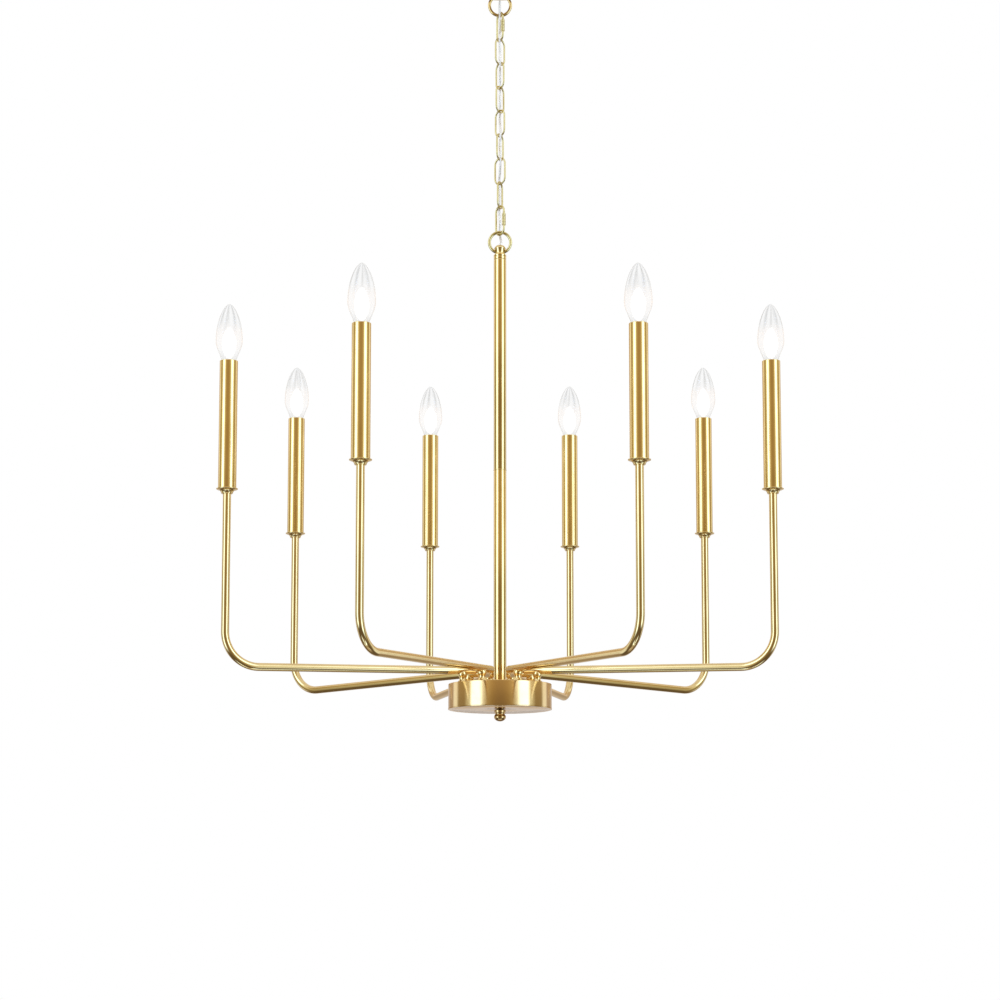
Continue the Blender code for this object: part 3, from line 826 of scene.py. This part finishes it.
def canopy_shape():
    """A thin cup that is open towards the ceiling, with a round corner and a hole for the stud."""
    hole = 5.5 * MM
    centre_r, centre_z = CANOPY_RADIUS - CANOPY_CORNER, CANOPY_CORNER - CANOPY_DEPTH
    outline = [(CANOPY_RADIUS, 0), *arc(centre_r, centre_z, CANOPY_CORNER, 0, -90, 14)]
    outline += [(hole, -CANOPY_DEPTH), (hole, CANOPY_WALL - CANOPY_DEPTH)]
    outline += arc(centre_r, centre_z, CANOPY_CORNER - CANOPY_WALL, -90, 0, 14)
    outline.append((CANOPY_RADIUS - CANOPY_WALL, 0))
    return soften(turned(outline, 128), 0.35 * MM)


def canopy_loop_shape():
    """The hollow stud, the boss under the canopy with its slanted cord hole, and the fixed ring."""
    neck = TOP_RING_CENTRE + RING_RADIUS
    boss_top, boss_corner = -CANOPY_DEPTH - GAP, 2 * MM
    outline = [(0, -GAP), (STUD_RADIUS, -GAP), (STUD_RADIUS, boss_top), (BOSS_RADIUS, boss_top)]
    outline += arc(BOSS_RADIUS - boss_corner, BOSS_BOTTOM + boss_corner, boss_corner, 0, -90, 8)
    outline += [(3.2 * MM, BOSS_BOTTOM - 0.5 * MM), (3.2 * MM, neck), (0, neck)]
    wire_way = bar(3 * MM, (0, 0, BOSS_BOTTOM + 4 * MM), (0, 0, 5 * MM), 32)
    cord_way = bar(2.2 * MM, (0, -6.6 * MM, -36 * MM), (0, -0.6 * MM, -27 * MM), 24)
    stem = drilled(turned(outline, 64), wire_way, cord_way)
    ring = moved(ring_shape(RING_RADIUS, RING_WIRE, 72, 20), shift(0, 0, TOP_RING_CENTRE))
    return joined(stem, ring)


def lock_nut_shape():
    """The six-sided nut that clamps the stud to the bracket."""
    nut = bar(9.2 * MM, (0, 0, LOCK_NUT_TOP - 3.5 * MM), (0, 0, LOCK_NUT_TOP), 6)
    hole = bar(STUD_RADIUS + 0.1 * MM, (0, 0, LOCK_NUT_TOP - 5.3 * MM), (0, 0, 0), 40)
    return soften(drilled(nut, hole), 0.4 * MM)


def bracket_screw_shape():
    """A slotted screw whose head is under the bracket."""
    seat, face = LOCK_NUT_TOP, -5.2 * MM
    head = [(0, seat), (4.3 * MM, seat), (4.3 * MM, -3.6 * MM), (3.4 * MM, -4.9 * MM), (0, face)]
    shank = [(0, -0.1 * MM), (2.0 * MM, -0.1 * MM), (2.0 * MM, -3 * MM), (0, -3 * MM)]
    size = Matrix.Diagonal((12 * MM, 1 * MM, 1.8 * MM, 1))
    slot = bmesh.new()
    bmesh.ops.create_cube(slot, size=1, matrix=shift(0, 0, face) @ size)
    return joined(drilled(turned(head, 40), slot), turned(shank, 32))


def add_ceiling_fitting():
    """What the chain hangs from: canopy, loop, lock nut and the bracket's two screws."""
    body = "ceiling_mounting"
    add_piece("canopy_shell", canopy_shape(), SATIN_BRASS, body, ["canopy"])
    add_piece("canopy_loop_boss", canopy_loop_shape(), SATIN_BRASS, body, ["canopy_loop"])
    heights = [-(4 + 1.3 * crest) * MM for crest in range(14)]
    thread = threads_round(STUD_RADIUS, 0.22 * MM, heights, 40)
    add_piece("loop_thread", thread, SATIN_BRASS, body, ["canopy_loop"])
    add_piece("loop_lock_nut", lock_nut_shape(), ZINC, body, ["canopy_loop"])
    for number, side in enumerate((-1, 1), 1):
        place = shift(side * BRACKET_SCREW_SPACING / 2, 0, 0)
        screw = moved(bracket_screw_shape(), turn(20 * number), place)
        add_piece(f"bracket_screw_{number}", screw, ZINC, body)


# ---------------------------------------------------------------- stem and hub


def stem_cap_shape():
    """The small dome that the stem's ring passes through, on a plug that fits the stem."""
    plug, waist, opening = 7 * MM, 6.35 * MM, 2.4 * MM
    outline = [
        (opening, -13.9 * MM),
        (plug, -13.9 * MM),
        (plug, -6.2 * MM),
        (STEM_RADIUS, -6.2 * MM),
        (STEM_RADIUS, -4.4 * MM),
        (7.3 * MM, -3.4 * MM),
        (6.6 * MM, -2.2 * MM),
        (waist, -0.8 * MM),
        (6.4 * MM, 0.8 * MM),
        (6.8 * MM, 2.6 * MM),
        (7.4 * MM, 4.0 * MM),
        (8.0 * MM, 5.2 * MM),
        *arc(2.6 * MM, 5.0 * MM, 4.6 * MM, 30, 84, 8),
        (opening, 9.6 * MM),
    ]
    bore = bar(3.6 * MM, (-12 * MM, 0, 0), (12 * MM, 0, 0), 48)
    return soften(drilled(turned(outline, 96), bore), 0.3 * MM, angle=50)


def stem_upper_shape(joint):
    """The upper tube, from the joint to the cap, with a groove under its top."""
    groove = STEM_TOP - 4.5 * MM
    outline = [
        (STEM_BORE, joint),
        (STEM_RADIUS, joint),
        (STEM_RADIUS, groove - 0.7 * MM),
        (STEM_RADIUS - 0.5 * MM, groove),
        (STEM_RADIUS, groove + 0.7 * MM),
        (STEM_RADIUS, STEM_TOP),
        (STEM_BORE, STEM_TOP),
    ]
    return soften(turned(outline, 96), 0.25 * MM)


def stem_lower_shape(joint):
    """The lower tube, with a spigot into the upper one and the nipple that goes through the hub."""
    wire_way, nipple, low = 3.4 * MM, 4.8 * MM, HUB_TOP - 39.2 * MM
    spigot, spigot_bore, spigot_top = 7 * MM, 5.6 * MM, joint + 12 * MM
    outline = [
        (wire_way, low),
        (nipple, low),
        (nipple, HUB_TOP + GAP),
        (STEM_RADIUS, HUB_TOP + GAP),
        (STEM_RADIUS, joint - GAP),
        (spigot, joint - GAP),
        (spigot, spigot_top),
        (spigot_bore, spigot_top),
        (spigot_bore, HUB_TOP + 8 * MM),
        (wire_way, HUB_TOP + 6 * MM),
    ]
    return soften(turned(outline, 96), 0.25 * MM)


def joint_bead_shape(joint):
    """The thin round bead over the joint of the two tubes."""
    inside, half = STEM_RADIUS - 0.6 * MM, 1.1 * MM
    outline = [(inside, joint - half)]
    outline += arc(STEM_RADIUS - 0.35 * MM, joint, 0.8 * MM, -70, 70, 8)
    outline.append((inside, joint + half))
    return turned(outline, 96)


def add_stem():
    """The stem's cap, its two tubes and the bead between them."""
    joint = HUB_TOP + STEM_JOINT
    dome = moved(stem_cap_shape(), shift(0, 0, CAP_BORE))
    add_piece("stem_cap_dome", dome, POLISHED_BRASS, "stem", ["stem_cap"])
    upper, lower = stem_upper_shape(joint), stem_lower_shape(joint)
    add_piece("stem_upper_tube", upper, SATIN_BRASS, "stem", ["stem_upper"])
    add_piece("stem_lower_tube", lower, SATIN_BRASS, "stem", ["stem_lower"])
    bead = joint_bead_shape(joint)
    add_piece("stem_joint_bead", bead, POLISHED_BRASS, "stem", ["stem_upper"])


def hub_drum_shape():
    """The hub's wall and top, with a hole for each arm's stud."""
    under = HUB_TOP - 2 * MM
    outline = [
        (HUB_RADIUS, HUB_TOP - HUB_HEIGHT),
        *arc(HUB_RADIUS - 0.9 * MM, HUB_TOP - 0.9 * MM, 0.9 * MM, 0, 90, 6),
        (HUB_CENTRE_HOLE, HUB_TOP),
        (HUB_CENTRE_HOLE, under),
        (HUB_INSIDE - 0.8 * MM, under),
        (HUB_INSIDE, under - 0.8 * MM),
        (HUB_INSIDE, HUB_TOP - HUB_HEIGHT),
    ]
    holes = []
    for heading in arm_headings():
        x = FOOT_RADIUS_ON_HUB * math.cos(heading)
        y = FOOT_RADIUS_ON_HUB * math.sin(heading)
        holes.append(bar(3.45 * MM, (x, y, HUB_TOP - 5 * MM), (x, y, HUB_TOP + 5 * MM), 32))
    return drilled(turned(outline, 160), *holes)


def bottom_plate_shape(bottom, top):
    """The plate that closes the hub, with a fine groove near its rim and a lip up inside the drum."""
    rim = HUB_RADIUS + 0.4 * MM
    groove = HUB_RADIUS - 5.5 * MM
    lip, lip_inside, lip_top = HUB_INSIDE - 0.4 * MM, HUB_INSIDE - 1.6 * MM, top + 4 * MM
    outline = [
        (HUB_CENTRE_HOLE, bottom),
        (groove - 0.5 * MM, bottom),
        (groove, bottom + 0.25 * MM),
        (groove + 0.5 * MM, bottom),
        (HUB_RADIUS, bottom),
        (rim, bottom + 0.4 * MM),
        (rim, top),
        (lip, top),
        (lip, lip_top),
        (lip_inside, lip_top),
        (lip_inside, top),
        (HUB_CENTRE_HOLE, top),
    ]
    return soften(turned(outline, 160), 0.2 * MM)


def finial_shape(top):
    """A collar and a slightly flat ball, with a blind bore for the nipple."""
    bore, bore_end = 5.15 * MM, HUB_TOP - 39.8 * MM
    ball, ball_radius, ball_half = HUB_TOP - 44.5 * MM, 8 * MM, 6 * MM
    waist = ball + 3.9 * MM
    collar = top - waist
    outline = [(0, bore_end), (bore, bore_end), (bore, top), (7.2 * MM, top)]
    outline += [(7.8 * MM, top - 0.6 * MM), (7.8 * MM, top - 0.45 * collar)]
    outline += [(7.2 * MM, top - 0.75 * collar), (6.5 * MM, waist)]
    for step in range(19):
        angle = math.radians(36 - 6.8 * step)
        outline.append((ball_radius * math.cos(angle), ball + ball_half * math.sin(angle)))
    outline.append((0, ball - ball_half))
    return turned(outline, 96)


def add_hub():
    """The drum, its bottom plate and the finial that holds the plate up."""
    top = HUB_TOP - HUB_HEIGHT - GAP
    bottom = top - PLATE_THICKNESS
    add_piece("hub_drum", hub_drum_shape(), HUB_BRASS, "stem", ["hub_housing"])
    plate = bottom_plate_shape(bottom, top)
    add_piece("hub_bottom_plate", plate, HUB_BRASS, "stem", ["hub_cover"])
    ball = finial_shape(bottom - GAP)
    # The finial's darker brass is painted shade.
    add_piece("finial_ball", ball, FINIAL_BRASS_PAINTED_SHADE, "finial", ["finial"])


# ---------------------------------------------------------------- arms and candles


def arm_headings():
    """The eight arms' headings about the stem in radians, from +X, going round from the front left."""
    left = [math.radians(-90 - angle) for angle in ARM_ANGLES]
    right = [math.radians(-90 + angle) for angle in reversed(ARM_ANGLES)]
    return left + right


def arm_shape(inner_end):
    """The bent tube, from its rounded inner end past the foot, out, round the elbow and up."""
    fall = math.radians(ARM_FALL)
    centre_x = ARM_REACH - FOOT_RADIUS_ON_HUB - ELBOW_RADIUS
    elbow_z = ARM_HEIGHT - centre_x * math.tan(fall) + ELBOW_RADIUS / math.cos(fall)
    elbow_x = centre_x - ELBOW_RADIUS * math.sin(fall)
    elbow_start = Vector((elbow_x, 0, elbow_z - ELBOW_RADIUS * math.cos(fall)))
    inner = inner_end - ARM_TUBE
    start = Vector((-inner, 0, ARM_HEIGHT + inner * math.tan(fall)))
    along = Vector((math.cos(fall), 0, -math.sin(fall)))
    shape = bmesh.new()
    first = section(shape, ARM_TUBE, 48, shift(*start) @ turn(90 + ARM_FALL, "Y"))

    ring = first
    before = 0.0
    for degrees in (15, 30, 45, 60, 72, 82):
        angle = math.radians(degrees)
        grow = math.cos(angle) / math.cos(before)
        ring = run(shape, ring, -along * ARM_TUBE * (math.sin(angle) - math.sin(before)), grow)
        before = angle
    cap_off(shape, ring)

    ring = first
    length = (elbow_start - start).length
    for _ in range(4):
        ring = run(shape, ring, along * length / 4)
    ring = bend(shape, ring, (centre_x, 0, elbow_z), (0, -1, 0), 90 + ARM_FALL, 28)
    for _ in range(2):
        ring = run(shape, ring, (0, 0, (ARM_TOP - elbow_z) / 2))
    ring = run(shape, ring, (0, 0, 0), ARM_BORE / ARM_TUBE)
    ring = run(shape, ring, (0, 0, -ARM_BORE_DEPTH))
    cap_off(shape, ring)
    return close_up(shape)


def foot_shape():
    """The spool between the hub and the arm's tube, with its stud."""
    stud, stud_end, top = 3 * MM, -9 * MM, ARM_HEIGHT - 2 * MM
    outline = [
        (0, stud_end),
        (stud, stud_end),
        (stud, GAP),
        (6.5 * MM, GAP),
        (6.7 * MM, 1.2 * MM),
        (6.2 * MM, 2.3 * MM),
        (4.9 * MM, 3.6 * MM),
        (4.3 * MM, 5.2 * MM),
        (4.3 * MM, 6.6 * MM),
        (5.1 * MM, 8.2 * MM),
        (6.1 * MM, 9.7 * MM),
        (6.4 * MM, 11.2 * MM),
        (6.0 * MM, 12.8 * MM),
        (5.0 * MM, top),
        (0, top),
    ]
    return turned(outline, 64)


def cup_shape():
    """A thin round flange on a neck that narrows to the arm's tube."""
    hole, edge, bottom = ARM_TUBE + 0.2 * MM, 0.7 * MM, CUP_TOP - 7.2 * MM
    outline = [
        (hole, CUP_TOP),
        (CUP_RADIUS - 1.0 * MM, CUP_TOP),
        *arc(CUP_RADIUS - edge, CUP_TOP - edge, edge, 80, -80, 8),
        *arc(CUP_RADIUS - 1.3 * MM, bottom, 5.4 * MM, 92, 168, 10),
        (7.5 * MM, CUP_TOP - 6.3 * MM),
        (7.6 * MM, CUP_TOP - 6.8 * MM),
        (7.1 * MM, bottom),
        (hole, bottom),
    ]
    return turned(outline, 72)


def sleeve_shape():
    """A thin tube with a lip rolled in at its top."""
    foot, roll, lip = CUP_TOP + GAP, 0.7 * MM, SLEEVE_BORE - 0.8 * MM
    outline = [
        (SLEEVE_BORE, foot),
        (SLEEVE_RADIUS - 0.2 * MM, foot),
        (SLEEVE_RADIUS, foot + 0.2 * MM),
        *arc(SLEEVE_RADIUS - roll, SLEEVE_TOP - roll, roll, 0, 90, 5),
        (lip, SLEEVE_TOP),
        (lip, SLEEVE_TOP - 0.5 * MM),
        (SLEEVE_BORE, SLEEVE_TOP - 1.0 * MM),
    ]
    return turned(outline, 96)


def socket_shape():
    """The moulded lamp holder inside a sleeve, open at its top for the bulb's cap."""
    neck = SOCKET_TOP - 39 * MM
    wide, grooved, bore = 9.4 * MM, 8.9 * MM, 6.5 * MM
    groove, floor = SOCKET_TOP - 11 * MM, BULB_SEAT - 0.8 * MM
    outline = [
        (0, neck),
        (4.2 * MM, neck),
        (5.0 * MM, neck + 0.8 * MM),
        (8.4 * MM, neck + 3.4 * MM),
        (wide, neck + 4.8 * MM),
        (wide, groove - 1 * MM),
        (grooved, groove - 0.5 * MM),
        (grooved, groove + 0.5 * MM),
        (wide, groove + 1 * MM),
        (wide, SOCKET_TOP - 0.8 * MM),
        (wide - 0.8 * MM, SOCKET_TOP),
        (bore, SOCKET_TOP),
        (bore, floor),
        (0, floor),
    ]
    return turned(outline, 64)


def socket_stem_shape():
    """The threaded pipe that carries a lamp holder on the end of its arm."""
    low, high = ARM_TOP - 8 * MM, SOCKET_TOP - 39 * MM
    core, crest, half_crest, pitch = 3.2 * MM, 3.5 * MM, 0.35 * MM, 1.5 * MM
    outline = [(0, low), (core, low)]
    threads = round((high - low) / pitch)
    for thread in range(threads):
        z = low + (thread + 0.5) * (high - low) / threads
        outline += [(core, z - half_crest), (crest, z), (core, z + half_crest)]
    outline += [(core, high), (0, high)]
    return turned(outline, 32)


def envelope_radius(z):
    """The glass envelope's radius at a height over the hub's top."""
    neck = 8.6 * MM
    if z < BULB_WIDEST:
        share = (z - GLASS_FOOT) / (BULB_WIDEST - GLASS_FOOT)
        return neck + (BULB_RADIUS - neck) * share * share * (3 - 2 * share)
    share = (z - BULB_WIDEST) / (BULB_TIP - BULB_WIDEST)
    return BULB_RADIUS * max(0.0, 1 - share * share) ** BULB_TAPER


def envelope_shape():
    """The pointed glass, with its rows closer together towards its tip."""
    outline = [(0, GLASS_FOOT)]
    rows = 44
    for row in range(rows):
        z = GLASS_FOOT + (BULB_TIP - GLASS_FOOT) * math.sin(math.pi / 2 * row / rows)
        outline.append((envelope_radius(z), z))
    outline.append((0, BULB_TIP))
    return turned(outline, 96)


def write_streaks_and_shade(mesh, low, high, tilt):
    """Notes each point's height, and how strong a lengthwise streak is there, with painted shade added
    near the glass's foot.
    """
    heights = mesh.attributes.new("height", "FLOAT", "POINT")
    streaks_and_shade = mesh.attributes.new("streak", "FLOAT", "POINT")
    for number, vert in enumerate(mesh.vertices):
        height = (vert.co.z - low) / (high - low)
        angle = math.atan2(vert.co.y, vert.co.x) + tilt + 0.35 * height
        wave = 0.5 + 0.5 * math.cos(9 * angle + 0.8 * math.sin(3 * angle))
        upper = min(max((height - 0.48) / 0.3, 0.0), 1.0)
        # painted shade: the glass grows more opaque and grey towards its foot
        lower = min(max((0.22 - height) / 0.2, 0.0), 1.0)
        heights.data[number].value = height
        streaks_and_shade.data[number].value = wave**3 * upper + 0.5 * lower


def cap_shape():
    """The bulb's screw cap: a ridged shell that narrows to its insulated contact."""
    low, shell_low, top = BULB_SEAT + 1.2 * MM, BULB_SEAT + 3.2 * MM, SOCKET_TOP + 0.4 * MM
    valley, crest = 5.35 * MM, 5.9 * MM
    outline = [(0, low), (3.4 * MM, low), (5.0 * MM, shell_low)]
    for ridge in range(5):
        z = shell_low + (0.8 + 3.1 * ridge) * MM
        outline += [(valley, z), (crest, z + 0.9 * MM)]
        outline += [(crest, z + 1.4 * MM), (valley, z + 2.3 * MM)]
    outline += [(5.5 * MM, shell_low + 17 * MM), (crest, shell_low + 18.5 * MM)]
    outline += [(crest, top), (0, top)]
    return turned(outline, 48)


def contact_shape():
    """The small round contact under the cap's insulator."""
    rim = BULB_SEAT + 1.3 * MM
    outline = [(0, BULB_SEAT), (1.8 * MM, BULB_SEAT + 0.1 * MM), (2.3 * MM, BULB_SEAT + 0.7 * MM)]
    outline += [(3.6 * MM, rim), (0, rim)]
    return turned(outline, 32)


def glow_shape():
    """The drop of light that the glass surrounds."""
    widest, rows = 9.6 * MM, 24
    outline = [(0, GLOW_LOW)]
    for row in range(1, rows):
        share = row / rows
        radius = widest * math.sin(math.pi * share**0.9) ** 0.8
        outline.append((radius, GLOW_LOW + (GLOW_HIGH - GLOW_LOW) * share))
    outline.append((0, GLOW_HIGH))
    return turned(outline, 48)


def add_arms():
    """The eight arms, each with its foot, cup, socket, sleeve and bulb."""
    for number, heading in enumerate(arm_headings(), 1):
        round_stem = Matrix.Rotation(heading, 4, "Z")
        outwards = Vector((math.cos(heading), math.sin(heading), 0))
        at_foot = (round_stem, shift(*(outwards * FOOT_RADIUS_ON_HUB + Vector((0, 0, HUB_TOP)))))
        at_tip = (round_stem, shift(*(outwards * ARM_REACH + Vector((0, 0, HUB_TOP)))))
        add_arm(number, at_foot)
        add_candle(number, at_tip)
        add_bulb(number, at_tip)


def add_arm(number, at_foot):
    """One bent tube on its foot."""
    body, node = f"arm_{number}", f"arm_tube_{number}"
    inner_end = FRONT_ARM_INNER_END if number in (1, 8) else ARM_INNER_END
    tube, foot = moved(arm_shape(inner_end), *at_foot), moved(foot_shape(), *at_foot)
    add_piece(f"arm_bent_tube_{number}", tube, ARM_BRASS, body, [node])
    add_piece(f"arm_foot_{number}", foot, POLISHED_BRASS, body, [node])


def add_candle(number, at_tip):
    """The cup on an arm's end, the sleeve over it, and the socket inside on its threaded stem."""
    arm, sleeve, socket = f"arm_{number}", f"sleeve_{number}", f"lamp_socket_{number}"
    for name, shape, finish, body, slot, node in (
        ("cup_flange", cup_shape(), POLISHED_BRASS, arm, "cup", f"candle_cup_{number}"),
        ("sleeve_tube", sleeve_shape(), SATIN_BRASS, sleeve, "sleeve", f"candle_sleeve_{number}"),
        ("socket_shell", socket_shape(), SOCKET_BLACK, arm, "socket", socket),
        ("socket_stem", socket_stem_shape(), ZINC, arm, "socket", socket),
    ):
        add_piece(f"{name}_{number}", moved(shape, *at_tip), finish, body, [node])


def add_bulb(number, at_tip):
    """The glass with its light inside, and the metal cap with its contact."""
    bulb = f"bulb_{number}"
    tilt = 2.4 * number
    for name, shape, finish, low, high in (
        (f"bulb_glass_{number}", envelope_shape(), GLASS_PAINTED_GLOW_AND_SHADE, GLASS_FOOT, BULB_TIP),
        (f"bulb_glow_{number}", glow_shape(), CANDLE_GLOW, GLOW_LOW, GLOW_HIGH),
    ):
        mesh = mesh_of(shape, name)
        write_streaks_and_shade(mesh, low, high, tilt)
        mesh.transform(at_tip[1] @ at_tip[0])
        add_mesh(name, mesh, finish, bulb, [bulb], crease=180.0)
    cap, contact = moved(cap_shape(), *at_tip), moved(contact_shape(), *at_tip)
    add_piece(f"bulb_cap_{number}", cap, NICKEL, bulb, [bulb])
    add_piece(f"bulb_contact_{number}", contact, PORCELAIN, bulb, [bulb])


def finish_bracket():
    """Gives the ceiling bracket, which stays the CAD solid, its finish."""
    bracket = frame["nodes"]["ceiling_bracket"]
    bracket.data.materials.clear()
    bracket.data.materials.append(ZINC)


# ---------------------------------------------------------------- studio


def under_peak(colour):
    """A light's colour as a share of the strongest."""
    return (*[part / PEAK for part in colour], 1)


def light_studio():
    """Tall soft boxes to the left and right, a dim room between them and a soft sky above.

    Colours are divided by PEAK, so that they stay under 1 in the ramp, and the light's strength is PEAK.
    """
    world = bpy.data.worlds.new("studio")
    SCENE.world = world
    world.use_nodes = True
    recipe = Recipe(world.node_tree)
    way = recipe.node("ShaderNodeTexCoord", output=WAY)
    x, y, z = recipe.node("ShaderNodeSeparateXYZ", None, {0: way}, output=(0, 1, 2))
    flat = (x * x + y * y) ** 0.5 + 1e-5
    stops = []
    for degrees, colour in STUDIO_ROUND:
        place = (1 + math.cos(math.radians(degrees))) / 2
        stops.append((place, under_peak(colour)))
    around = recipe.node("ShaderNodeValToRGB", {"stops": stops}, {0: 0.5 - y / flat * 0.5})
    risen = recipe.spread(z, 0.07, 0.24)
    around = recipe.node(
        "ShaderNodeMix",
        {"data_type": "RGBA", "blend_type": "ADD"},
        {0: risen, 6: around, 7: under_peak(RISEN_LIGHT)},
        MIXED_COLOUR,
    )
    above = recipe.spread(z, 0.62, 0.80)
    sky = recipe.blend_colours(above, around, under_peak(SKY_LIGHT))
    below = recipe.spread(z, -0.35, -0.62) * recipe.spread(z, -0.97, -0.80)
    room = recipe.blend_colours(below, sky, under_peak(LOW_LIGHT))
    warm = recipe.node("ShaderNodeBackground", None, {0: room, 1: PEAK})
    white = recipe.node("ShaderNodeBackground", None, {0: (1, 1, 1, 1), 1: 1.0})
    seen = recipe.node("ShaderNodeLightPath", output=SEEN_BY_CAMERA)
    both = recipe.node("ShaderNodeMixShader", None, {0: seen, 1: warm, 2: white})
    recipe.node("ShaderNodeOutputWorld", None, {0: both})


def add_floor():
    """A wide plain floor well below the lamp, which the metal doesn't mirror."""
    shape = bmesh.new()
    bmesh.ops.create_grid(shape, x_segments=1, y_segments=1, size=9)
    moved(shape, shift(0, 0, FLOOR_HEIGHT))
    floor = placed("studio_floor", mesh_of(shape, "studio_floor"))
    floor.data.materials.append(floor_finish())
    floor.visible_glossy = False


def add_overhead_light():
    """A large soft light from above and in front."""
    lamp = bpy.data.lights.new("overhead", "AREA")
    lamp.shape = "DISK"
    lamp.size = 2.4
    lamp.energy = 60
    light = placed("overhead", lamp)
    light.location = (0.6, -1.2, 1.6)
    light.rotation_euler = (math.radians(22), math.radians(10), 0)
    light.visible_glossy = False


add_camera()
add_cord()
add_chain()
add_ceiling_fitting()
add_stem()
add_hub()
add_arms()
finish_bracket()
light_studio()
add_floor()
add_overhead_light()
SCENE.view_settings.view_transform = "Standard"
